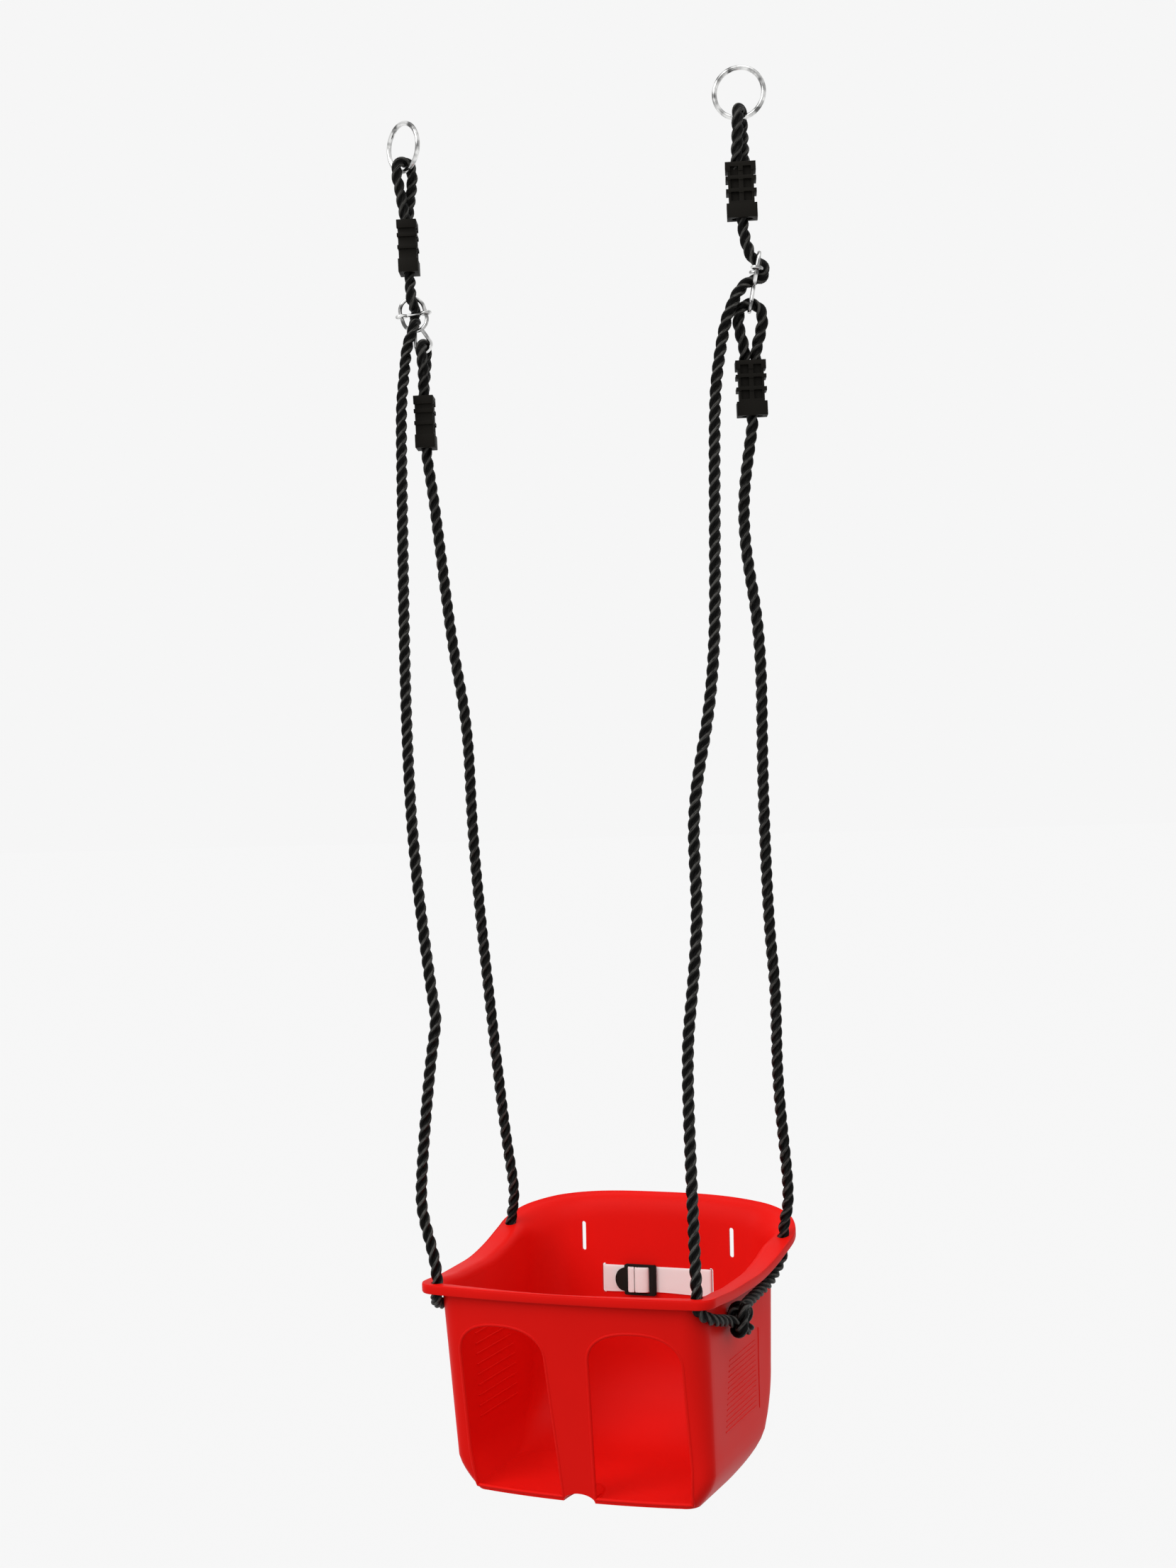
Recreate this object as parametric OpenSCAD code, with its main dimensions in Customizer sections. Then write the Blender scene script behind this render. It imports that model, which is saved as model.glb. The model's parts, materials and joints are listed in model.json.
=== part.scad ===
// Toddler bucket swing: a moulded seat shell on two laid ropes.
// Origin midway between the two hanging rings, X to the seat's right seen from
// its front, Y from front to back, Z up. All sizes in millimetres.

/* [Seat shell] */
// Height from the ring centres down to the top of the front rim
hang_drop = 1180; // [1100:1:1300]
// Distance that the seat is set forward of the hanging axis
seat_forward = 36; // [20:1:50]
// Half width of the side walls, outside, just under the rim
wall_half = 141; // [130:1:150]
// Half width of the side walls, outside, just above the bottom curve
wall_half_low = 137; // [126:1:141]
// Half width of the floor
floor_half = 120; // [105:1:126]
// Front wall, outside, at the corners under the rim, forward of the seat centre
front_top = 105; // [100:1:108]
// Front wall, outside, at the corners of the floor
front_low = 78; // [60:1:96]
// How far the front wall bows out at its middle
front_bow = 9; // [0:1:14]
// Back wall, outside, behind the seat centre
back_top = 149; // [140:1:155]
// Depth of the shell below the front rim
shell_depth = 212; // [190:1:240]
// Height of the back above the front rim
back_rise = 47.5; // [36:0.5:56]
// Radius of the scoop between floor and back
scoop_r = 95; // [70:1:110]
// How much wider each side is at the front corners than further back
front_flare = 2.5; // [0:0.5:4]
// Height of the rim's front corners above the middle of its sides
front_rise = 3; // [0:0.5:6]
// Moulded wall thickness
wall_t = 3; // [2.4:0.1:3.6]
// Radius of the front corners of the shell at the rim
front_corner = 28; // [18:1:30]
// Radius of the back corners of the shell
back_corner = 40; // [30:1:46]

/* [Openings] */
// Width of one leg opening
leg_w = 98; // [80:1:106]
// Width of the post between the leg openings
post_w = 45; // [36:1:60]
// Distance from the front rim down to the top of the leg openings
leg_top = 35; // [30:1:60]
// Height of the round head of a leg opening
leg_head = 34; // [20:1:46]
// Distance between the two upper belt slots
upper_slots = 172; // [150:1:190]
// Height of the upper slots' middle above the front rim
upper_slot_z = -1; // [-6:1:6]
// Distance between the two lower belt slots
lower_slots = 124; // [100:1:140]
// Depth of the lower slots' middle below the front rim
lower_slot_z = 45; // [40:1:60]
// Length of a belt slot
slot_len = 31.5; // [31:0.5:38]
// Width of a belt slot
slot_w = 5; // [4:0.5:7]
// Diameter of the rope holes in the rim
hole_d = 12.5; // [11.5:0.1:13.5]

/* [Rings] */
// Distance between the two hanging rings
ring_span = 378; // [360:1:400]
// Diameter of a ring to the middle of its wire
ring_d = 50; // [46:1:60]
// Diameter of the ring wire
ring_wire = 5; // [4:0.5:5]
// Turn of the left ring about the vertical, degrees
left_turn = -25; // [-30:1:0]
// Turn of the right ring about the vertical, degrees
right_turn = 8; // [0:1:20]

/* [Ropes] */
// Diameter of the laid rope
rope_d = 10.5; // [9:0.5:10.5]

/* [Sleeves] */
// Height of a clamp sleeve
sleeve_h = 55; // [46:1:60]
// Width of a sleeve across its collar
sleeve_w = 30.5; // [28:0.5:33]
// Depth of a sleeve
sleeve_d = 21; // [19:0.5:24]
// Height of the solid collar at the foot of a sleeve
collar_h = 14; // [10:1:18]

/* [Rope adjusters] */
// Wire diameter of an adjuster
adj_wire = 4; // [3:0.5:4]
// Width of an adjuster's upper ring, between wire middles
adj_w = 26; // [24:1:30]
// Height of an adjuster's upper ring, between wire middles
adj_h = 35; // [35:1:40]
// Width of an adjuster's lower loop, between wire middles
adj_loop_w = 17; // [16.5:0.5:20]
// Length of an adjuster's lower loop
adj_loop_h = 24; // [24:1:28]
// Diameter of the crossbar
bar_d = 3.6; // [3:0.2:4]

/* [Belt] */
// Width of the belt webbing
belt_w = 30; // [25:1:31]
// Thickness of the belt webbing
belt_t = 1.6; // [1.2:0.1:2]
// Width of the slider buckle's frame
buckle_w = 36; // [30:1:42]
// Place of the buckle's frame along the belt, from the middle
buckle_x = -18; // [-24:1:30]
// Thickness of the buckle
buckle_t = 4; // [3:0.5:5]

/* [Hidden] */

function lerp(a, b, t) = a + (b - a) * t;
function clamp01(t) = min(1, max(0, t));
function smooth(t) = let (c = clamp01(t)) c * c * (3 - 2 * c);
function unit(v) = v / norm(v);

// ---- shell levels ---------------------------------------------------------
base_rise = 33;                 // height of the bottom curve of the side walls
z_floor = -shell_depth;
z_curve = z_floor + base_rise;
z_scoop = z_floor + scoop_r;
back_draft = 4;                 // lean of the back wall, degrees

// half width of the shell at height z, outside
function half_at(z) = let (d = clamp01((z_curve - z) / base_rise))
    lerp(wall_half, wall_half_low, clamp01(z / z_curve))
    - (wall_half_low - floor_half) * pow(d, 1.6);
// front wall at its corners
function front_at(z) = -lerp(front_top, front_low, z / z_floor);
// back wall
back_low = back_top + z_scoop * tan(back_draft);
function back_at(z) = z >= z_scoop ? back_top + z * tan(back_draft)
    : back_low - scoop_r + sqrt(max(0, pow(scoop_r, 2) - pow(z - z_scoop, 2)));
// inside of the back wall, which keeps the wall's thickness round the scoop
function back_in(z, t) = z >= z_scoop ? back_at(z) - t
    : back_low - scoop_r + sqrt(max(0, pow(scoop_r - t, 2) - pow(z - z_scoop, 2)));
function fc_at(z) = lerp(front_corner, front_corner / 2, clamp01(z / z_curve));

// ---- outline stations -----------------------------------------------------
side_n = 10;
front_n = 10;
back_n = 10;
corner_n = 9;
// a rounded four-sided plan, half width hf at the front and hb at the back
function plan(hf, hb, yf, yb, rf, rb, bow) = concat(
    [for (i = [1:front_n - 1]) let (x = lerp(-(hf - rf), hf - rf, i / front_n))
        [x, yf - bow * (1 - pow(x / (hf - rf), 2))]],
    [for (i = [0:corner_n]) let (a = -90 + 90 * i / corner_n)
        [hf - rf + rf * cos(a), yf + rf + rf * sin(a)]],
    [for (i = [1:side_n - 1]) let (t = i / side_n)
        [lerp(hf, hb, t), lerp(yf + rf, yb - rb, t)]],
    [for (i = [0:corner_n]) let (a = 90 * i / corner_n)
        [hb - rb + rb * cos(a), yb - rb + rb * sin(a)]],
    [for (i = [1:back_n - 1]) [lerp(hb - rb, -(hb - rb), i / back_n), yb]],
    [for (i = [0:corner_n]) let (a = 90 + 90 * i / corner_n)
        [-(hb - rb) + rb * cos(a), yb - rb + rb * sin(a)]],
    [for (i = [1:side_n - 1]) let (t = i / side_n)
        [-lerp(hb, hf, t), lerp(yb - rb, yf + rf, t)]],
    [for (i = [0:corner_n]) let (a = 180 + 90 * i / corner_n)
        [-(hf - rf) + rf * cos(a), yf + rf + rf * sin(a)]]);
function flare_at(z) = front_flare * (1 - clamp01((z_curve - z) / base_rise));
function shell_plan(z, t) = plan(half_at(z) + flare_at(z) - t, half_at(z) - t, front_at(z) + t,
    back_in(z, t), fc_at(z) - t, back_corner - t, front_bow);

// ---- rim ------------------------------------------------------------------
rim_fillet = 10;                // inner rounding between side walls and rim
back_fillet = 30;               // the same at the back, where the wall sweeps out
rim_lip = 9.5;                  // depth of the rim's turned-down edge
rim_front = 8;                  // how far the rim stands out, front corners
rim_side = 17;                  // the same at the sides, front end
rim_side_back = 27;             // the same at the sides, back end
rim_back = 14;                  // the same at the back
rim_corner = 17;                // corner radius of the rim at the front
rim_back_corner = back_corner + 12;
rim_round = 2;                  // rounding of the rim's outer edge
// outer edge of the rim
rim_plan = plan(wall_half + rim_side, wall_half + rim_side_back, -front_top - rim_front,
    back_top + rim_back, rim_corner, rim_back_corner, front_bow);
station_n = len(rim_plan);
// height of the rim along the sides and round to the back
function rise_at(p) = front_rise * smooth((-p[1] - 0.45 * front_top) / (0.5 * front_top))
    + back_rise * (0.36 * smooth((p[1] - 5) / 135)
    + 0.06 * smooth((p[1] - 60) / 60)
    + 0.58 * smooth((p[1] - 98) / 52)
        * max(0, 1 - pow(abs(p[0]) / (wall_half + rim_side_back + 17), 3)));

function column(i) = let (
        q = rim_plan[i],
        zo = rise_at(q),
        back = smooth((q[1] - 85) / 65),
        zi = zo - 2 * back,
        fv = lerp(rim_fillet, back_fillet, back),
        zw = zi - fv,
        p = shell_plan(zw, wall_t)[i],
        po = shell_plan(zw, 0)[i],
        u = unit(q - p), w = norm(q - p),
        fh = lerp(rim_fillet, w - 5, back),
        wt = norm(po - p),
        ft = fh - wt,
        at = function(d, z) [p[0] + u[0] * d, p[1] + u[1] * d, z],
        slope = (zo - zi) / (w - fh),
        levels = concat([for (h = [0, 0.6, 2, 4.5, 8.5, 14, 22]) z_floor + h], [z_curve,
            z_scoop - 45, z_scoop - 30, z_scoop - 14, z_scoop + 4, -60]))
    concat(
        [for (k = [0:len(levels) - 1]) let (
            z = k < 7 ? lerp(levels[k], levels[k] + wall_t, 1 - k / 7) : levels[k],
            s = shell_plan(z, wall_t)[i]) [s[0], s[1], z]],
        [for (a = [0:22.5:90]) at(fh * (1 - cos(a)), zw + fv * sin(a))],
        [for (a = [90:-30:0]) at(w - rim_round * (1 - cos(a)), zo - rim_round * (1 - sin(a)))],
        [at(w, zo - rim_lip), at(w - wall_t, zo - rim_lip), at(w - wall_t, zo - wall_t)],
        [for (a = [90:-22.5:0]) at(wt + ft * (1 - cos(a)), zw - wall_t + fv * sin(a))],
        [for (k = [len(levels) - 1:-1:0]) let (z = levels[k], s = shell_plan(z, 0)[i])
            [s[0], s[1], z]]);

module shell() {
    cols = [for (i = [0:station_n - 1]) column(i)];
    n = len(cols[0]);
    pts = [for (c = cols) for (p = c) p];
    faces = concat(
        [for (i = [0:station_n - 1]) for (k = [0:n - 2]) let (j = (i + 1) % station_n)
            each [[i * n + k, j * n + k + 1, i * n + k + 1], [i * n + k, j * n + k, j * n + k + 1]]],
        [[for (i = [station_n - 1:-1:0]) i * n]],
        [[for (i = [0:station_n - 1]) i * n + n - 1]]);
    polyhedron(points = pts, faces = faces);
}

// ---- openings -------------------------------------------------------------
hole_front = [wall_half - 1, 4 - front_top];
hole_back = [wall_half + 16, back_top - 39];
post_low = 34;                  // width of the post at the floor
notch_h = 8.6;                   // height of the arched foot of the post
sill = 1;                       // bead left along the floor's front edge
head_n = 14;

// outline of the right-hand leg opening, x and z
module leg_outline() {
    mid = (post_w + leg_w) / 2;
    head = [for (i = [0:head_n]) let (a = 180 * i / head_n)
        [mid + leg_w / 2 * sign(cos(a)) * pow(abs(cos(a)), 0.85),
         -leg_top - leg_head + leg_head * pow(sin(a), 0.85)]];
    low = z_floor + wall_t + sill;
    outer = post_w / 2 + leg_w;
    polygon(concat(head, [[post_low / 2, low], [floor_half - wall_t, low],
        [outer, z_curve + 8]]));
}
module leg_openings() {
    for (s = [0, 1]) mirror([s, 0, 0])
        translate([0, -front_low + 18, 0]) rotate([90, 0, 0])
            linear_extrude(height = 70) leg_outline();
}
// the arched foot of the post: a hollow under the floor and its cover inside
notch_deep = 46;
post_front = -front_low - front_bow;
module post_arch(grow) {
    translate([0, post_front, z_floor])
        scale([post_low / 2 + grow, notch_deep + grow, notch_h + grow])
            sphere(r = 1, $fn = 40);
}
module arch_cover() {
    intersection() {
        post_arch(wall_t);
        translate([-post_low, post_front + wall_t / 2, z_floor + 0.5])
            cube([2 * post_low, 2 * notch_deep, 2 * notch_h + wall_t]);
    }
}
module belt_slot() {
    rotate([-90, 0, 0]) {
        cube([slot_w, slot_len - slot_w, 10 * wall_t], center = true);
        for (s = [-1, 1]) translate([0, s * (slot_len - slot_w) / 2, 0])
            cylinder(h = 10 * wall_t, d = slot_w, center = true, $fn = 24);
    }
}
module belt_slots() {
    for (s = [-1, 1]) {
        translate([s * upper_slots / 2, back_top, upper_slot_z]) belt_slot();
        translate([s * lower_slots / 2, back_top, -lower_slot_z]) belt_slot();
    }
}
module rope_holes() {
    for (s = [-1, 1]) {
        translate([s * hole_front[0], hole_front[1], -15]) cylinder(h = 40, d = hole_d, $fn = 48);
        translate([s * hole_back[0], hole_back[1], -10]) cylinder(h = 60, d = hole_d, $fn = 48);
    }
}

module bucket() {
    color([0.85, 0.09, 0.08])
        translate([0, -seat_forward, -hang_drop])
            difference() {
                union() {
                    shell();
                    arch_cover();
                }
                leg_openings();
                post_arch(0);
                belt_slots();
                rope_holes();
            }
}

// ---- rings ----------------------------------------------------------------
module wire_ring(side, turn) {
    color([0.78, 0.79, 0.8]) translate([side * ring_span / 2, 0, 0])
        rotate([0, 0, turn]) rotate([90, 0, 0])
            rotate_extrude($fn = 64) translate([ring_d / 2, 0]) circle(d = ring_wire, $fn = 24);
}

// ---- ropes ----------------------------------------------------------------
// Routes of the two ropes, from the end inside the upper sleeve, up round the
// ring, down through the adjuster and the front hole, through the knot under
// the rim, up through the back hole and round the adjuster's lower loop.
left_top = [[-187, -5, -106], [-187, -5, -92], [-187, -6, -78], [-189, -8, -62], [-192, -10, -46],
    [-194, -11, -32], [-193, -8, -19], [-189, 0, -15], [-185, 8, -19], [-184, 11, -32],
    [-185, 10, -46], [-188, 7, -62], [-190, 5, -78], [-190, 5, -95], [-189, 2, -114],
    [-188, 0, -126], [-187, -2, -142], [-184, -8, -156], [-184, -6, -166], [-185, 0, -169.5],
    [-187, 6, -172], [-188, 8, -178], [-187, 6, -184], [-185, 0, -187], [-183, -6, -190],
    [-184, -9, -198], [-189, -13, -214], [-189, -21, -241], [-189, -32, -280],
    [-186, -43, -345], [-182, -58, -449], [-177, -76, -596], [-167, -93, -743],
    [-146, -108, -887], [-141, -111, -916], [-147, -117, -960], [-157, -130, -1080],
    [-154, -132, -1114], [-143, -136, -1150], [-140, -137, -1171]];
left_back = [[-157, 74, -1164], [-153, 71, -1148], [-148, 68, -1122], [-152, 61, -1062],
    [-157, 49, -925], [-161, 34, -751], [-158, 27, -650], [-160, 23, -592], [-168, 18, -522],
    [-176, 9, -380], [-180, 4, -330], [-180, 4, -312], [-179, 1, -298], [-178, -1, -283],
    [-178, -1, -268], [-176, -4, -253], [-174, -7, -238], [-174, -9, -224], [-176, -6, -213],
    [-177, 3, -209], [-179, 12, -213], [-181, 15, -224], [-182, 14, -238], [-183, 11, -253],
    [-182, 9, -268], [-182, 9, -280], [-182, 9, -292]];
right_top = [[182, -2, -98], [182, -2, -88], [182, -3, -74], [184, -6, -60], [188, -9, -45],
    [190, -11, -31], [190, -8, -19], [189, 0, -16], [188, 8, -19], [187, 11, -31],
    [189, 9, -45], [192, 5, -60], [192, 2, -74], [192, 2, -88], [190, 1, -105],
    [187, 0, -118], [187, 0, -130], [189, -1, -144], [193, -3, -157], [197, -1, -167],
    [203, 2, -170], [207, 3, -178], [204, 2, -185], [197, -1, -187], [190, -5, -190],
    [183, -13, -200], [177, -19, -216], [171, -22, -233], [164, -33, -285],
    [163, -43, -340], [164, -60, -460], [163, -69, -543], [157, -78, -615],
    [145, -86, -680], [140, -91, -735], [144, -100, -812], [138, -109, -890],
    [132, -114, -952], [136, -127, -1075], [139, -135, -1148], [140, -137, -1171]];
right_back = [[157, 74, -1164], [161, 70, -1144], [168, 67, -1112], [165, 55, -1000],
    [170, 47, -905], [168, 41, -831], [172, 30, -686], [178, 22, -590], [178, 17, -520],
    [171, 13, -455], [172, 10, -399], [184, 6, -340], [187, 4, -326], [187, 4, -312],
    [190, 5, -298], [192, 6, -282], [192, 6, -267], [194, 5, -254], [199, 4, -240],
    [203, 2, -225], [200, 0, -214], [192, -3, -210], [184, -5, -213], [180, -7, -226],
    [181, -4, -240], [183, 0, -254], [182, 2, -267], [182, 2, -280], [182, 2, -292]];
// the routes above are drawn for these places and follow the sizes from them
route_ring = [189, 1180];       // half the span of the rings, and the seat's drop
route_front = [140, -137];
route_back = [157, 74];
function fitted(route, side, ref, hole) = [for (p = route)
    let (low = clamp01((-300 - p[2]) / 860), top = ring_span / 2 - route_ring[0],
        bottom = [hole[0] - ref[0], hole[1] - seat_forward - ref[1]])
    [p[0] + side * lerp(top, bottom[0], low), p[1] + low * bottom[1],
     p[2] - low * (hang_drop - route_ring[1])]];
// run under the rim from the front hole, the overhand knot and the run to the
// back hole, measured from the seat centre at rim height, right-hand side
knot_at = [wall_half + 13, -21, -38];
knot_r = 18;
knot_rise = 6.4;
knot_n = 18;
under_front = [for (p = [[0, 0, -3], [2, 0, -12], [8, 13, -20.5], [9.5, 33, -26.5], [9.2, 55, -32]])
    [hole_front[0] + p[0], hole_front[1] + p[1], p[2]]];
under_back = [for (p = [[3, -137, -25], [-1, -112, -24], [-3, -72, -23], [-3, -38, -20],
    [-2, -12, -10], [0, -2, 1]])
    [hole_back[0] + p[0], hole_back[1] + p[1], p[2]]];
function knot_point(i) = let (
        s = i / knot_n, t = 300 - 360 * s,
        shift = -6 * (1 - smooth(s / 0.16)) + 6 * smooth((s - 0.84) / 0.16))
    [knot_at[0] + knot_rise * sin(1080 * s) + shift,
     knot_at[1] + knot_r / 3 * (sin(t) + 2 * sin(2 * t)),
     knot_at[2] + knot_r / 3 * (cos(t) - 2 * cos(2 * t))];
knot_run = concat(under_front, [for (i = [0:knot_n]) knot_point(i)], under_back);
function seat_run(side) = [for (p = knot_run) [side * p[0], p[1] - seat_forward, p[2] - hang_drop]];

// a smooth curve through the points, with n steps between two of them
function spline_point(a, b, c, d, t) = 0.5 * ((2 * b) + (c - a) * t
    + (2 * a - 5 * b + 4 * c - d) * t * t + (3 * b - a - 3 * c + d) * t * t * t);
function spline(p, n) = let (last = len(p) - 1) concat(
    [for (i = [0:last - 1]) for (k = [0:n - 1])
        spline_point(p[max(i - 1, 0)], p[i], p[i + 1], p[min(i + 2, last)], k / n)],
    [p[last]]);

rope_sides = 8;
// frames carried along the path without twist
function next_normal(n, t) = unit(n - (n * t) * t);
function tangent(p, i) = unit(p[min(i + 1, len(p) - 1)] - p[max(i - 1, 0)]);
function normals(p, i, n) = i >= len(p) ? [] :
    let (m = next_normal(n, tangent(p, i))) concat([m], normals(p, i + 1, m));
module tube(path, d) {
    frames = normals(path, 0, [1, 0.2, 0]);
    r = d / 2 / cos(90 / rope_sides);
    pts = [for (i = [0:len(path) - 1]) let (t = tangent(path, i), n = frames[i], b = cross(t, n))
        for (k = [0:rope_sides - 1]) let (a = 360 * k / rope_sides)
            path[i] + r * cos(a) * n + r * sin(a) * b];
    last = (len(path) - 1) * rope_sides;
    faces = concat(
        [for (i = [0:len(path) - 2]) for (k = [0:rope_sides - 1])
            let (m = (k + 1) % rope_sides, a = i * rope_sides, c = a + rope_sides)
            each [[a + k, c + k, c + m], [a + k, c + m, a + m]]],
        [[for (k = [0:rope_sides - 1]) k]],
        [[for (k = [rope_sides - 1:-1:0]) last + k]]);
    polyhedron(points = pts, faces = faces);
}
module rope(top, back, side) {
    color([0.07, 0.07, 0.07])
        tube(concat(fitted(top, side, route_front, hole_front), seat_run(side),
            fitted(back, side, route_back, hole_back)), rope_d);
}

// ---- sleeves --------------------------------------------------------------
sleeve_wall = 2;
sleeve_fit = 0.3;
pocket_rows = 3;
// moulded sleeve from its top face down, legs of the rope side by side in X
module sleeve_body() {
    legs = 2 * rope_d + 2 * sleeve_fit;
    body_w = sleeve_w - 5;
    row = (sleeve_h - collar_h - 3) / pocket_rows;
    difference() {
        union() {
            translate([-body_w / 2, -sleeve_d / 2 + 1, -sleeve_h]) cube([body_w, sleeve_d - 2, sleeve_h]);
            translate([-sleeve_w / 2, -sleeve_d / 2, -sleeve_h]) cube([sleeve_w, sleeve_d, collar_h]);
            translate([-sleeve_w / 2, -sleeve_d / 2, -9]) cube([sleeve_w, sleeve_d, 9]);
            for (k = [1:pocket_rows - 1])
                translate([-sleeve_w / 2, -sleeve_d / 2, -2 - row * (k + 0) - 3.5])
                    cube([sleeve_w, sleeve_d, 4]);
        }
        for (s = [-1, 1]) translate([s * rope_d / 2, 0, -sleeve_h - 1])
            cylinder(h = sleeve_h + 2, d = rope_d + 2 * sleeve_fit, $fn = 40);
        translate([-rope_d / 2, -rope_d / 2 - sleeve_fit, -sleeve_h - 1])
            cube([rope_d, rope_d + 2 * sleeve_fit, sleeve_h + 2]);
        for (f = [-1, 1]) for (c = [-1, 1]) for (k = [0:pocket_rows - 1])
            translate([c * (body_w / 4) - 4, f > 0 ? sleeve_d / 2 - 2.6 : -sleeve_d / 2 - 1,
                       -3 - row * (k + 1) + 2.5])
                cube([8, 3.6, row - 4]);
    }
}
module sleeve(x, y, top, turn) {
    color([0.1, 0.1, 0.1]) translate([x + sign(x) * (ring_span / 2 - route_ring[0]), y, top])
        rotate([0, 0, turn]) sleeve_body();
}

// ---- adjusters ------------------------------------------------------------
// the wire figure of eight, about the middle of the crossbar, in the XZ plane
adj_bar_drop = adj_h / 2;
module half_hoop(w) {
    rotate([90, 0, 0]) rotate_extrude(angle = 180, $fn = 48)
        translate([w / 2, 0]) circle(d = adj_wire, $fn = 20);
}
module rod(a, b, d) {
    v = b - a;
    translate(a) rotate([0, acos(v[2] / norm(v)), atan2(v[1], v[0])])
        cylinder(h = norm(v), d = d, $fn = 20);
}
module adjuster_wire() {
    side_h = adj_h - adj_w;
    low = -adj_h / 2 - adj_loop_h + adj_loop_w / 2;
    translate([0, 0, side_h / 2]) half_hoop(adj_w);
    translate([0, 0, -side_h / 2]) mirror([0, 0, 1]) half_hoop(adj_w);
    for (s = [-1, 1]) {
        rod([s * adj_w / 2, 0, -side_h / 2], [s * adj_w / 2, 0, side_h / 2], adj_wire);
        rod([s * 3.5, 0, -adj_h / 2 + 0.5], [s * adj_loop_w / 2, 0, low], adj_wire);
    }
    translate([0, 0, low]) mirror([0, 0, 1]) half_hoop(adj_loop_w);
}
bar_eye = adj_wire / 2 + bar_d / 2 + 0.8;
module crossbar(tilt) {
    rotate([0, tilt, 0]) {
        rod([-adj_w / 2 + bar_eye, 0, 0], [adj_w / 2 - bar_eye, 0, 0], bar_d);
        for (s = [-1, 1]) translate([s * adj_w / 2, 0, 0])
            rotate_extrude($fn = 32) translate([bar_eye, 0]) circle(d = bar_d, $fn = 16);
    }
}
// place of each adjuster: middle of the crossbar, turn about Z, lean and tilt
left_adj = [[-186, 0, -177.5], 20, 0, -15];
right_adj = [[199, 0, -177.5], 113, 12, 0];
module place(a) {
    translate(a[0] + [sign(a[0][0]) * (ring_span / 2 - route_ring[0]), 0, 0])
        rotate([0, 0, a[1]]) rotate([a[2], 0, 0]) rotate([0, a[3], 0]) children();
}
module adjuster(a) { color([0.8, 0.81, 0.82]) place(a) adjuster_wire(); }
module adjuster_bar(a) { color([0.8, 0.81, 0.82]) place(a) crossbar(-a[3] * 0.6); }

// ---- belt -----------------------------------------------------------------
belt_gap = 0.4;
belt_back = back_top - lower_slot_z * tan(back_draft);
// the belt's own frame: middle of the wall between the lower slots, leaning as it
module on_back() {
    translate([0, belt_back - wall_t / 2 - seat_forward, -lower_slot_z - hang_drop])
        rotate([-back_draft, 0, 0]) children();
}
module belt() {
    deep = wall_t + 2 * belt_gap;
    wide = lower_slots - belt_t;
    color([0.93, 0.8, 0.83]) on_back() translate([0, 0, -belt_w / 2]) linear_extrude(height = belt_w)
        difference() {
            square([wide + 2 * belt_t, deep + 2 * belt_t], center = true);
            square([wide, deep], center = true);
        }
}
buckle_h = belt_w + 3;
buckle_left = 3.7;              // bar on the side of the tab
buckle_right = 6.8;             // bar on the other side
window_h = belt_w - 1.5;
fold_w = window_h - 1.4;        // webbing drawn together to pass the windows
tab_r = 10;
tab_flat = 8.5;
belt_face = -wall_t / 2 - belt_gap - belt_t;      // front of the webbing
buckle_gap = 0.4;
mid_bar = 2.2;
mid_at = -buckle_w / 2 + buckle_left + 0.36 * (buckle_w - buckle_left - buckle_right);
// a rectangle with rounded corners
module rounded(w, h, r) {
    square([w - 2 * r, h], center = true);
    square([w, h - 2 * r], center = true);
    for (x = [-1, 1]) for (y = [-1, 1])
        translate([x * (w / 2 - r), y * (h / 2 - r)]) circle(r = r, $fn = 24);
}
// a window of the buckle between two places across, rounded at its corners
module buckle_window(a, b) {
    translate([(a + b) / 2, 0]) rounded(b - a, window_h, 1.2);
}
module buckle_outline() {
    difference() {
        union() {
            rounded(buckle_w, buckle_h, 2);
            intersection() {
                translate([-buckle_w / 2, 0]) circle(r = tab_r, $fn = 48);
                translate([-buckle_w / 2 - tab_flat, -tab_r]) square([tab_flat + 2, 2 * tab_r]);
            }
        }
        buckle_window(-buckle_w / 2 + buckle_left, mid_at - mid_bar / 2);
        buckle_window(mid_at + mid_bar / 2, buckle_w / 2 - buckle_right);
    }
}
module belt_buckle() {
    color([0.08, 0.08, 0.08]) on_back()
        translate([buckle_x, belt_face - buckle_gap, 0]) rotate([90, 0, 0])
            linear_extrude(height = buckle_t) buckle_outline();
}
// webbing that rises through one window, turns over the middle bar and goes
// down through the other
module belt_fold() {
    a = -buckle_w / 2 + buckle_left + 0.6;
    b = buckle_w / 2 - buckle_right - 0.6;
    lift = buckle_t + 0.4;
    crest = lift + belt_t;
    color([0.93, 0.8, 0.83]) on_back()
        translate([buckle_x, belt_face - buckle_gap, -fold_w / 2])
            linear_extrude(height = fold_w)
                polygon(concat([[a, 0], [a + belt_t, 0], [a + belt_t + 0.4, -buckle_t * 0.6],
                    [mid_at - mid_bar / 2 - 0.4, -lift], [mid_at + mid_bar / 2 + 0.4, -lift]],
                    [for (t = [0.35:0.16:0.83]) [lerp(mid_at + mid_bar / 2, b - belt_t, t), -lift * pow(cos(90 * (t - 0.2) / 0.8), 0.7)]],
                    [[b - belt_t, 0], [b, 0]],
                    [for (t = [0.86:-0.14:0.3]) [lerp(mid_at + mid_bar / 2, b, t), -crest * pow(cos(90 * (t - 0.15) / 0.85), 0.6) - 0.4]],
                    [[mid_at + mid_bar / 2 + 0.6, -crest], [mid_at - mid_bar / 2 - 0.6, -crest], [a + 1.2, -crest * 0.78],
                     [a, -crest * 0.4]]));
}

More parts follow.
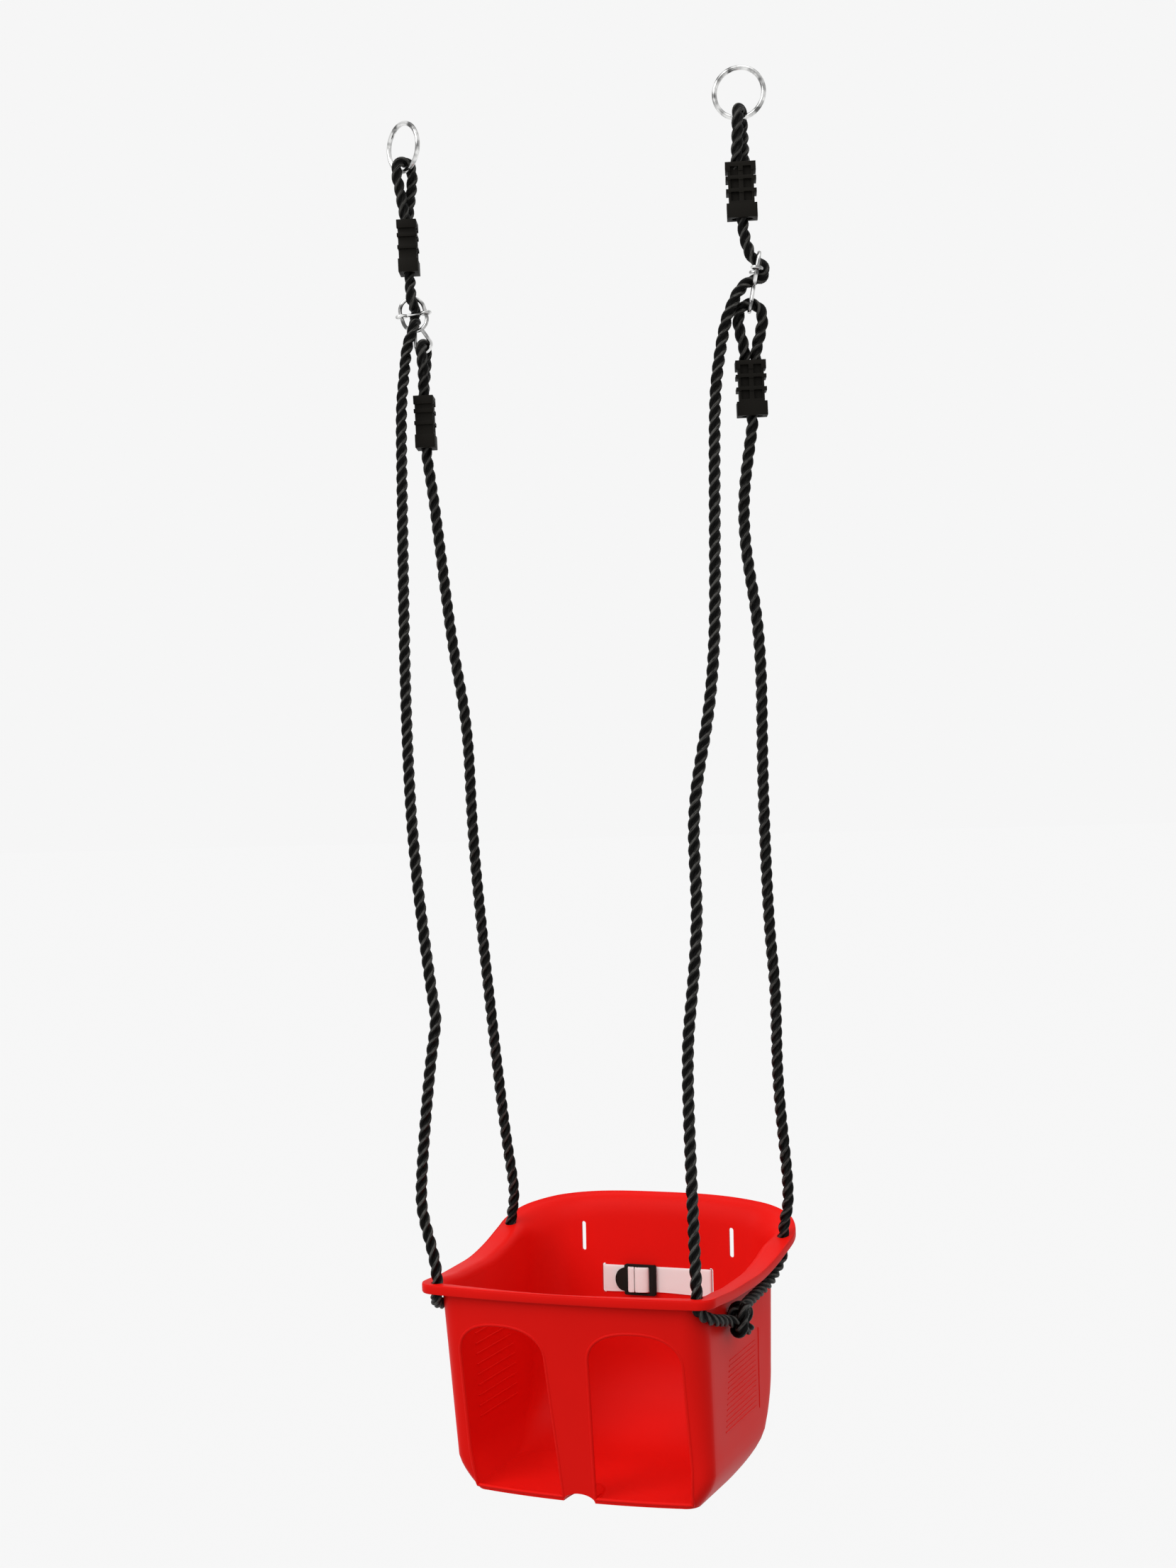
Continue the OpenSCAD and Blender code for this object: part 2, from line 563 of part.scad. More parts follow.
bucket();
wire_ring(-1, left_turn);  // left_ring
wire_ring(1, right_turn);  // right_ring
rope(left_top, left_back, -1);  // left_rope
rope(right_top, right_back, 1);  // right_rope
sleeve(-188.5, 0, -79, -67);  // left_upper_sleeve
sleeve(187, 0, -70, 20);  // right_upper_sleeve
sleeve(-180, 4, -265, 112);  // left_lower_sleeve
sleeve(187, 4, -266, 22);  // right_lower_sleeve
adjuster(left_adj);  // left_adjuster
adjuster(right_adj);  // right_adjuster
adjuster_bar(left_adj);  // left_adjuster_bar
adjuster_bar(right_adj);  // right_adjuster_bar
belt();
belt_fold();
belt_buckle();
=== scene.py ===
"""Dresses a toddler bucket swing: a moulded red seat shell on two laid ropes.

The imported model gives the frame. Each sub-assembly is a class that builds its own
pieces in that frame, and each finish is a small class of its own. Sizes are in
millimetres until a mesh is made, and meshes are in metres.
"""

from __future__ import annotations

import json
import logging
import math
from contextlib import contextmanager
from dataclasses import dataclass
from enum import Enum
from typing import Any, Iterable, Iterator, Sequence

import bmesh
import bpy
import numpy as np
from mathutils import Matrix, Vector

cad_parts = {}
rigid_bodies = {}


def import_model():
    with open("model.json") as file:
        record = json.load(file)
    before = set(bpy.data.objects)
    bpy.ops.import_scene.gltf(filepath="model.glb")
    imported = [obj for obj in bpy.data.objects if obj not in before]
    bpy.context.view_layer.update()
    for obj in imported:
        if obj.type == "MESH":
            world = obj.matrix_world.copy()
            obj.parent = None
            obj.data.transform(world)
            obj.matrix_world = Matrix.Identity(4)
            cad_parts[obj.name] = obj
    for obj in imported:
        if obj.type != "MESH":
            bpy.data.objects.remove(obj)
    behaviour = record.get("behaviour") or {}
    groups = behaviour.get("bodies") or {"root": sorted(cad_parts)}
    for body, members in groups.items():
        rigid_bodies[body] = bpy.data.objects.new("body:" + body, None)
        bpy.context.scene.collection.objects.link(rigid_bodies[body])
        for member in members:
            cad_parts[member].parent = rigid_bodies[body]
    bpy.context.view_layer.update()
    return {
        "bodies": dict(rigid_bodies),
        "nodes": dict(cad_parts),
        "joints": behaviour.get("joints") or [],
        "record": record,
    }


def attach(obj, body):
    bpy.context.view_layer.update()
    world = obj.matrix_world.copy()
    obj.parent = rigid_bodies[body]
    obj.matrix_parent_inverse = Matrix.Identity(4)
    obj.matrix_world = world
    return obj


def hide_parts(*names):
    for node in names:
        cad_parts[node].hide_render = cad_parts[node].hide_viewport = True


LOG = logging.getLogger("bucket_swing")
MM = 0.001
Point = tuple[float, float, float]
Flat = tuple[float, float]
Piece = bpy.types.Object


class Body(str, Enum):
    """The bodies of the frame that a piece may ride on."""

    RINGS = "rings"
    SWING = "swing"
    BUCKLE = "buckle"


class Side(Enum):
    """The two ropes, by the side of the seat that they hold."""

    LEFT = -1
    RIGHT = 1

    @property
    def word(self) -> str:
        """The side's name in lower case, as node names begin."""
        return self.name.lower()


# ---- numbers and curves --------------------------------------------------------


def clamp(t: float) -> float:
    """Keeps a number between 0 and 1."""
    return min(1.0, max(0.0, t))


def ease(t: float) -> float:
    """Goes softly from 0 to 1 as a number does."""
    c = clamp(t)
    return c * c * (3 - 2 * c)


def arc(x: float, y: float, r: float, start: float, end: float, count: int) -> list[Flat]:
    """Points on an arc round a place, between two angles in degrees."""
    turn = np.radians(np.linspace(start, end, count))
    return [(x + r * math.cos(a), y + r * math.sin(a)) for a in turn]


def spline(points: Sequence[Point], steps: int) -> np.ndarray:
    """Runs a smooth curve through the points, in so many steps between two of them."""
    p = np.asarray(points, float)
    ends = np.vstack([p[:1], p, p[-1:]])
    out = []
    for a, b, c, d in zip(ends, ends[1:], ends[2:], ends[3:]):
        square = 2 * a - 5 * b + 4 * c - d
        cube = 3 * b - a - 3 * c + d
        for t in np.arange(steps) / steps:
            out.append(0.5 * (2 * b + (c - a) * t + square * t**2 + cube * t**3))
    out.append(p[-1])
    return np.array(out)


def evened(path: np.ndarray, step: float, rounds: int = 0) -> np.ndarray:
    """Spaces a path's points evenly and eases its small kinks.

    Args:
        path: The points of the path.
        step: The distance between two points of the result.
        rounds: How many times each point is eased towards its neighbours.

    Returns:
        The new points, with the same two ends.
    """
    for _ in range(rounds):
        middle = 0.5 * path[1:-1] + 0.25 * (path[:-2] + path[2:])
        path = np.vstack([path[:1], middle, path[-1:]])
    steps = np.linalg.norm(np.diff(path, axis=0), axis=1)
    run = np.concatenate([[0.0], np.cumsum(steps)])
    count = max(2, int(round(run[-1] / step)) + 1)
    at = np.linspace(0.0, run[-1], count)
    return np.column_stack([np.interp(at, run, path[:, k]) for k in range(3)])


# ---- meshes --------------------------------------------------------------------


@contextmanager
def edited(mesh: bpy.types.Mesh) -> Iterator[bmesh.types.BMesh]:
    """Opens a mesh for editing, and writes it back."""
    edit = bmesh.new()
    edit.from_mesh(mesh)
    yield edit
    edit.to_mesh(mesh)
    edit.free()


def new_object(name: str, data: bpy.types.ID) -> Piece:
    """Makes an object of a mesh, a lamp or a camera and links it to the scene."""
    piece = bpy.data.objects.new(name, data)
    bpy.context.scene.collection.objects.link(piece)
    return piece


def mesh_object(
    name: str,
    points: Iterable[Sequence[float]],
    faces: Iterable[Sequence[int]] = (),
    edges: Iterable[Sequence[int]] = (),
) -> Piece:
    """Makes a mesh object from its points, faces and edges, in metres."""
    mesh = bpy.data.meshes.new(name)
    mesh.from_pydata([tuple(map(float, p)) for p in points], list(edges), list(faces))
    mesh.update()
    return new_object(name, mesh)


def wire_object(name: str, path: np.ndarray, closed: bool = False) -> Piece:
    """Makes a bare line of edges, open or closed, for a geometry tree to follow."""
    edges = [(i, i + 1) for i in range(len(path) - 1)]
    if closed:
        edges.append((len(path) - 1, 0))
    return mesh_object(name, path, edges=edges)


def solid_between(name: str, first: np.ndarray, second: np.ndarray) -> Piece:
    """Makes a closed solid between two outlines with as many points, in metres."""
    n = len(first)
    faces: list[Sequence[int]] = [list(range(n)), list(range(2 * n - 1, n - 1, -1))]
    faces += [(i, i + n, (i + 1) % n + n, (i + 1) % n) for i in range(n)]
    return face_out(mesh_object(name, [*first, *second], faces))


def face_out(piece: Piece) -> Piece:
    """Turns a closed piece's faces outwards, and gives the piece back."""
    with edited(piece.data) as edit:
        bmesh.ops.recalc_face_normals(edit, faces=edit.faces)
    return piece


def discard(*objects: Piece) -> None:
    """Removes helper objects that are no longer needed."""
    for item in objects:
        bpy.data.objects.remove(item, do_unlink=True)


def baked(source: Piece, name: str) -> Piece:
    """Turns an object with modifiers into a plain mesh piece and drops the source."""
    graph = bpy.context.evaluated_depsgraph_get()
    mesh = bpy.data.meshes.new_from_object(
        source.evaluated_get(graph), preserve_all_data_layers=True, depsgraph=graph
    )
    mesh.name = name
    discard(source)
    return new_object(name, mesh)


def smooth_by_angle(piece: Piece, degrees: float) -> Piece:
    """Shades a piece smooth, with sharp edges past an angle, and gives it back."""
    piece.data.shade_smooth()
    limit = math.radians(degrees)
    with edited(piece.data) as edit:
        for edge in edit.edges:
            edge.smooth = len(edge.link_faces) == 2 and edge.calc_face_angle(0.0) < limit
    return piece


def combined(piece: Piece, name: str, steps: Sequence[tuple[str, Piece]], angle: float) -> Piece:
    """Joins a piece with others or cuts it by them.

    Args:
        piece: The piece to start from. It and the others are used up.
        name: The result's name.
        steps: Each Boolean operation and its other piece, in order.
        angle: The angle past which an edge of the result is sharp, in degrees.

    Returns:
        The result.
    """
    for operation, other in steps:
        tool = piece.modifiers.new("step", "BOOLEAN")
        tool.operation, tool.solver, tool.object = operation, "EXACT", other
    piece = baked(piece, name)
    discard(*(other for _, other in steps))
    return smooth_by_angle(piece, angle)


def cad_copy(
    frame: dict[str, Any], node: str, name: str, bevel: float = 0.0, angle: float = 35.0
) -> Piece:
    """Copies a node's solid as a clean piece with merged points and soft edges.

    Args:
        frame: The loaded frame.
        node: The node to copy.
        name: The new piece's name.
        bevel: Width of the rounding on its edges, in metres.
        angle: The angle past which an edge is sharp, in degrees.

    Returns:
        The new piece.
    """
    merge, flat = 2e-6, math.radians(1.0)
    piece = new_object(name, bpy.data.meshes.new(name))
    with edited(piece.data) as edit:
        edit.from_mesh(frame["nodes"][node].data)
        bmesh.ops.remove_doubles(edit, verts=edit.verts, dist=merge)
        bmesh.ops.dissolve_limit(edit, angle_limit=flat, verts=edit.verts, edges=edit.edges)
    if bevel > 0.0:
        tool = piece.modifiers.new("edge", "BEVEL")
        tool.width, tool.segments = bevel, 2
        tool.limit_method, tool.angle_limit = "ANGLE", math.radians(angle)
        tool.use_clamp_overlap = True
        piece = baked(piece, name)
    return smooth_by_angle(piece, angle)


# ---- node trees ----------------------------------------------------------------


class NodeSheet:
    """A node tree with short calls for adding nodes and wiring them."""

    def __init__(self, tree: bpy.types.NodeTree) -> None:
        """Keeps the tree that the calls work on."""
        self.tree = tree

    def add(self, kind: str, links: dict[Any, Any] | None = None, **settings: Any) -> Any:
        """Adds a node, sets its options and fills its inputs.

        Args:
            kind: The node's type name.
            links: Input name or index to a socket or a plain value.
            **settings: Options of the node itself.

        Returns:
            The new node.
        """
        node = self.tree.nodes.new(kind)
        for key, value in settings.items():
            setattr(node, key, value)
        for key, value in (links or {}).items():
            if isinstance(value, bpy.types.NodeSocket):
                self.tree.links.new(value, node.inputs[key])
            else:
                node.inputs[key].default_value = value
        return node

    def out(self, kind: str, links: dict[Any, Any] | None = None, **settings: Any) -> Any:
        """Adds a node and returns its first output."""
        return self.add(kind, links, **settings).outputs[0]

    def math(self, operation: str, *values: Any) -> Any:
        """Adds a Math node and returns its output."""
        return self.out("ShaderNodeMath", dict(enumerate(values)), operation=operation)

    def times(self, a: Any, b: Any) -> Any:
        """The product of two numbers."""
        return self.math("MULTIPLY", a, b)

    def plus(self, a: Any, b: Any) -> Any:
        """The sum of two numbers."""
        return self.math("ADD", a, b)

    def vector(self, x: Any, y: Any, z: Any) -> Any:
        """A vector of three numbers."""
        return self.out("ShaderNodeCombineXYZ", {0: x, 1: y, 2: z})

    def parts(self, attribute: str) -> Sequence[Any]:
        """The three parts of a vector attribute of the mesh."""
        found = self.add(
            "ShaderNodeAttribute", attribute_name=attribute, attribute_type="GEOMETRY"
        )
        return self.add("ShaderNodeSeparateXYZ", {0: found.outputs["Vector"]}).outputs

    def noise(self, scale: Any, detail: float, vector: Any = None) -> Any:
        """Noise over the piece's own place, or over another vector."""
        if vector is None:
            vector = self.add("ShaderNodeTexCoord").outputs["Object"]
        return self.out(
            "ShaderNodeTexNoise", {"Vector": vector, "Scale": scale, "Detail": detail}
        )

    def remap(self, value: Any, low: float, high: float, to: Flat = (0.0, 1.0)) -> Any:
        """Maps a number from one span to another, and keeps it in there."""
        return self.out("ShaderNodeMapRange", {0: value, 1: low, 2: high, 3: to[0], 4: to[1]})

    def ramp(self, factor: Any, stops: Sequence[tuple[float, Sequence[float]]]) -> Any:
        """Adds a colour ramp over a factor and returns its colour."""
        node = self.add("ShaderNodeValToRGB", {0: factor})
        elements = node.color_ramp.elements
        while len(elements) < len(stops):
            elements.new(0.5)
        for element, (place, colour) in zip(elements, stops):
            element.position = place
            element.color = (*colour[:3], 1.0)
        return node.outputs[0]

    def grain(self, scale: float, drift: float = 9.0) -> Any:
        """Fine moulded or cast grain: its Height, and a Drift over the piece."""
        return self.add(
            "ShaderNodeGroup",
            {"Grain Scale": scale, "Drift Scale": drift},
            node_tree=grain_group(),
        ).outputs


def grain_group() -> bpy.types.NodeTree:
    """The shader group behind NodeSheet.grain, made once."""
    name = "moulded_grain"
    found = bpy.data.node_groups.get(name)
    if found:
        return found
    tree = bpy.data.node_groups.new(name, "ShaderNodeTree")
    for key in ("Grain Scale", "Drift Scale"):
        tree.interface.new_socket(key, in_out="INPUT", socket_type="NodeSocketFloat")
    for key in ("Height", "Drift"):
        tree.interface.new_socket(key, in_out="OUTPUT", socket_type="NodeSocketFloat")
    sheet = NodeSheet(tree)
    scales = sheet.add("NodeGroupInput").outputs
    fine = sheet.noise(scales["Grain Scale"], 3.0)
    broad = sheet.noise(scales["Drift Scale"], 2.0)
    sheet.add("NodeGroupOutput", {"Height": fine, "Drift": broad})
    return tree


class GeometryTree:
    """A geometry node tree with named inputs, ending in one finished mesh."""

    def __init__(self, name: str, sizes: dict[str, float]) -> None:
        """Starts the tree, with named size inputs and their values."""
        tree = bpy.data.node_groups.new(name, "GeometryNodeTree")
        face = tree.interface
        face.new_socket("Geometry", in_out="INPUT", socket_type="NodeSocketGeometry")
        face.new_socket("Geometry", in_out="OUTPUT", socket_type="NodeSocketGeometry")
        self.keys: dict[str, str] = {}
        for key, value in sizes.items():
            socket = face.new_socket(key, in_out="INPUT", socket_type="NodeSocketFloat")
            socket.default_value = value
            self.keys[key] = socket.identifier
        socket = face.new_socket("Finish", in_out="INPUT", socket_type="NodeSocketMaterial")
        self.keys["Finish"] = socket.identifier
        self.sizes = sizes
        self.sheet = NodeSheet(tree)
        self.start = self.sheet.add("NodeGroupInput").outputs

    def even_line(self) -> Any:
        """The line that the tree starts from, as a curve with even steps."""
        line = self.sheet.out("GeometryNodeMeshToCurve", {0: self.start[0]})
        links = {"Curve": line, "Length": self.start["Step"]}
        return self.sheet.out("GeometryNodeResampleCurve", links, mode="LENGTH")

    def captured(self, geometry: Any, **values: Any) -> Any:
        """Keeps named numbers with a geometry and returns the node's outputs."""
        node = self.sheet.add("GeometryNodeCaptureAttribute", {0: geometry})
        for key in values:
            node.capture_items.new("FLOAT", key)
        for key, value in values.items():
            self.sheet.tree.links.new(value, node.inputs[key])
        return node.outputs

    def swept(self, curve: Any, profile: Any) -> Any:
        """A closed skin along a curve."""
        return self.sheet.out(
            "GeometryNodeCurveToMesh",
            {"Curve": curve, "Profile Curve": profile, "Fill Caps": True},
        )

    def close(self, geometry: Any) -> None:
        """Ends the tree: smooth, made real, with the finish set."""
        smooth = self.sheet.out("GeometryNodeSetShadeSmooth", {0: geometry})
        real = self.sheet.out("GeometryNodeRealizeInstances", {0: smooth})
        dressed = self.sheet.out(
            "GeometryNodeSetMaterial", {"Geometry": real, "Material": self.start["Finish"]}
        )
        self.sheet.add("NodeGroupOutput", {0: dressed})

    def run(self, source: Piece, name: str, finish: bpy.types.Material) -> Piece:
        """Applies the tree to an object, which is used up, as a plain mesh piece."""
        tool = source.modifiers.new("tree", "NODES")
        tool.node_group = self.sheet.tree
        for key, value in self.sizes.items():
            tool[self.keys[key]] = value
        tool[self.keys["Finish"]] = finish
        return baked(source, name)


def wire_tree(name: str, thickness: float, step: float) -> GeometryTree:
    """A round wire or bead that follows a line, of a thickness and with a mesh step."""
    tree = GeometryTree(name, {"Thickness": thickness, "Step": step})
    radius = tree.sheet.times(tree.start["Thickness"], 0.5)
    ring = {"Resolution": 16, "Radius": radius}
    profile = tree.sheet.out("GeometryNodeCurvePrimitiveCircle", ring)
    tree.close(tree.swept(tree.even_line(), profile))
    return tree


# ---- finishes ------------------------------------------------------------------


def shaded(colour: Sequence[float], factor: float) -> tuple[float, ...]:
    """A colour made darker or lighter."""
    return tuple(min(1.0, c * factor) for c in colour)


@dataclass(frozen=True)
class Finish:
    """What every finish shares: a name, a colour and how rough it is."""

    name: str
    colour: Point
    rough: float

    def build(self) -> bpy.types.Material:
        """Builds the material."""
        material = bpy.data.materials.new(self.name)
        material.use_nodes = True
        material.diffuse_color = (*self.colour, 1.0)
        shader = material.node_tree.nodes["Principled BSDF"]
        sheet = NodeSheet(material.node_tree)
        shader.inputs["Base Color"].default_value = (*self.colour, 1.0)
        shader.inputs["Roughness"].default_value = self.rough
        colour = self.paint(sheet, shader)
        sheet.tree.links.new(colour, shader.inputs["Base Color"])
        return material

    def paint(self, sheet: NodeSheet, shader: Any) -> Any:
        """Adds the finish's own nodes and returns its colour."""
        raise NotImplementedError

    def relieve(
        self, sheet: NodeSheet, shader: Any, height: Any, strength: float, deep: float
    ) -> None:
        """Raises the surface by a height, with a strength and a depth in metres."""
        links = {"Strength": strength, "Distance": deep, "Height": height}
        bump = sheet.out("ShaderNodeBump", links)
        sheet.tree.links.new(bump, shader.inputs["Normal"])

    def painted_highlight_colour_by(self, sheet: NodeSheet, shader: Any, mask: Any, to: Flat) -> None:
        """Lets the roughness drift between two numbers with a mask."""
        gloss = sheet.remap(mask, 0.3, 0.7, to)
        sheet.tree.links.new(gloss, shader.inputs["Roughness"])


@dataclass(frozen=True)
class MouldedPlastic(Finish):
    """Moulded plastic: a faint grain, a drift of gloss and a little tone."""

    relief: float
    tone: float
    grain: float = 900.0
    gloss_drift: float = 0.1
    specular: float = 0.06

    def paint(self, sheet: NodeSheet, shader: Any) -> Any:
        """Adds grain and gloss, and returns the drifting colour."""
        grain = sheet.grain(self.grain)
        half = self.gloss_drift / 2
        self.painted_highlight_colour_by(sheet, shader, grain["Drift"], (self.rough - half, self.rough + half))
        self.relieve(sheet, shader, grain["Height"], self.relief, 0.5 * MM)
        shader.inputs["Specular IOR Level"].default_value = self.specular
        dark, light = (shaded(self.colour, 1.0 + s * self.tone) for s in (-1, 1))
        return sheet.ramp(grain["Drift"], [(0.3, dark), (0.7, light)])


@dataclass(frozen=True)
class BrightWire(Finish):
    """Zinc-plated steel wire, drawn, with painted dark and bright reflections in patches over its
    colour.
    """

    grain: float = 1400.0
    reflection_patches: float = 75.0
    # Painted reflections: stops of the patch noise where the wire's colour is darkened to stand
    # for dark surroundings seen in the metal.
    painted_reflection_stops: Sequence[Flat] = ((0.36, 0.16), (0.46, 0.55), (0.56, 1.0))

    def paint(self, sheet: NodeSheet, shader: Any) -> Any:
        """Adds the gloss of metal and returns its colour, darkened in patches as painted
        reflections.
        """
        grain = sheet.grain(self.grain, self.reflection_patches)
        self.painted_highlight_colour_by(sheet, shader, grain["Height"], (self.rough * 0.7, self.rough * 1.3))
        shader.inputs["Metallic"].default_value = 1.0
        # Paints dark and bright reflections into the wire's colour, patch by patch.
        stops = [(place, shaded(self.colour, factor)) for place, factor in self.painted_reflection_stops]
        return sheet.ramp(grain["Drift"], stops)


@dataclass(frozen=True)
class LaidYarn(Finish):
    """Black laid rope: yarns that lie along each strand, with painted highlight streaks on the
    strands' lit sides and painted shade on their other sides.
    """

    yarns: float = 5.0
    yarn_lay: float = 900.0
    streaks: float = 240.0
    narrow: float = 1.5
    towards: Flat = (0.88, 0.48)
    # Colour of the painted highlight streaks on the strands' lit sides.
    painted_highlight_colour: Point = (0.085, 0.083, 0.077)
    specular: float = 0.08

    def paint(self, sheet: NodeSheet, shader: Any) -> Any:
        """Reads the lay attribute of the rope's mesh for its yarns, and paints a highlight on
        each strand's lit side and shade on its other side and in the valleys.
        """
        crest, flank, along = sheet.parts("lay")
        phase = sheet.math("ARCTAN2", flank, crest)
        turn = sheet.plus(sheet.times(phase, self.yarns), sheet.times(along, self.yarn_lay))
        wave = sheet.times(sheet.math("SINE", turn), 0.5)
        fuzz = sheet.times(sheet.noise(1500.0, 4.0), 0.8)
        self.relieve(sheet, shader, sheet.plus(wave, fuzz), 0.6, 0.4 * MM)
        shader.inputs["Specular IOR Level"].default_value = self.specular
        # Painted highlight mask: strongest where a strand's surface faces the lamp side, which
        # towards gives.
        lit = sheet.plus(
            sheet.times(crest, self.towards[0]), sheet.times(flank, self.towards[1])
        )
        painted_highlight_mask = sheet.math("POWER", sheet.math("MAXIMUM", lit, 0.0), self.narrow)
        strands = sheet.vector(
            sheet.times(crest, 3.0), sheet.times(flank, 3.0), sheet.times(along, self.streaks)
        )
        shine = sheet.remap(sheet.noise(1.0, 2.0, strands), 0.36, 0.56)
        # Painted shade at half the colour on each strand's far side and in the valleys, and
        # painted highlight streaks where the mask is high.
        stops = [(0.0, shaded(self.colour, 0.5)), (0.12, self.colour), (0.62, self.painted_highlight_colour)]
        return sheet.ramp(sheet.times(painted_highlight_mask, shine), stops)


@dataclass(frozen=True)
class WovenBand(Finish):
    """Woven webbing, whiter along its two selvedges, with a fine rib."""

    edge_colour: Point = (0.97, 0.96, 0.96)
    picks: float = 1100.0
    ends: float = 700.0

    def paint(self, sheet: NodeSheet, shader: Any) -> Any:
        """Reads the band attribute of the webbing's mesh for its weave."""
        along, across, height = sheet.parts("band")
        edge = sheet.remap(sheet.math("ABSOLUTE", across), 0.8, 0.92)
        pick = sheet.math("SINE", sheet.times(along, 2 * math.pi * self.picks))
        end = sheet.math("SINE", sheet.times(height, 2 * math.pi * self.ends))
        weave = sheet.times(sheet.times(pick, end), 0.5)
        self.relieve(sheet, shader, sheet.plus(weave, edge), 0.35, 0.3 * MM)
        shader.inputs["Sheen Weight"].default_value = 0.2
        fuzz = sheet.noise(260.0, 3.0)
        factor = sheet.plus(sheet.times(edge, 0.75), sheet.times(fuzz, 0.25))
        stops = [(0.0, self.colour), (0.2, self.colour), (0.95, self.edge_colour)]
        return sheet.ramp(factor, stops)


@dataclass(frozen=True)
class Palette:
    """Every finish of the swing, built once."""

    shell: bpy.types.Material
    wire: bpy.types.Material
    rope: bpy.types.Material
    black: bpy.types.Material
    webbing: bpy.types.Material

    @classmethod
    def make(cls) -> "Palette":
        """Builds all the finishes."""
        finishes = (
            MouldedPlastic("red_shell", (0.78, 0.0078, 0.005), 0.42, relief=0.03, tone=0.04),
            BrightWire("bright_wire", (0.86, 0.86, 0.85), 0.14),
            LaidYarn("laid_rope", (0.0045, 0.0042, 0.0036), 0.36),
            MouldedPlastic(
                "black_sleeve", (0.0125, 0.0112, 0.0092), 0.55, relief=0.12, tone=0.2
            ),
            WovenBand("pale_webbing", (0.9, 0.86, 0.84), 0.8),
        )
        return cls(*(finish.build() for finish in finishes))


def dress(
    piece: Piece,
    body: Body,
    finish: bpy.types.Material | None = None,
    nodes: Sequence[str] = (),
) -> None:
    """Gives a piece its finish and its body, and hides the nodes that it replaces.

    Args:
        piece: The piece, already in place.
        body: The body that it rides on.
        finish: Its material, if the piece has none yet.
        nodes: The nodes that it replaces.
    """
    if finish is not None:
        piece.data.materials.clear()
        piece.data.materials.append(finish)
    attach(piece, body.value)
    if nodes:
        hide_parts(*nodes)
    LOG.info("%s: %d faces on %s", piece.name, len(piece.data.polygons), body.value)


# ---- seat shell ----------------------------------------------------------------


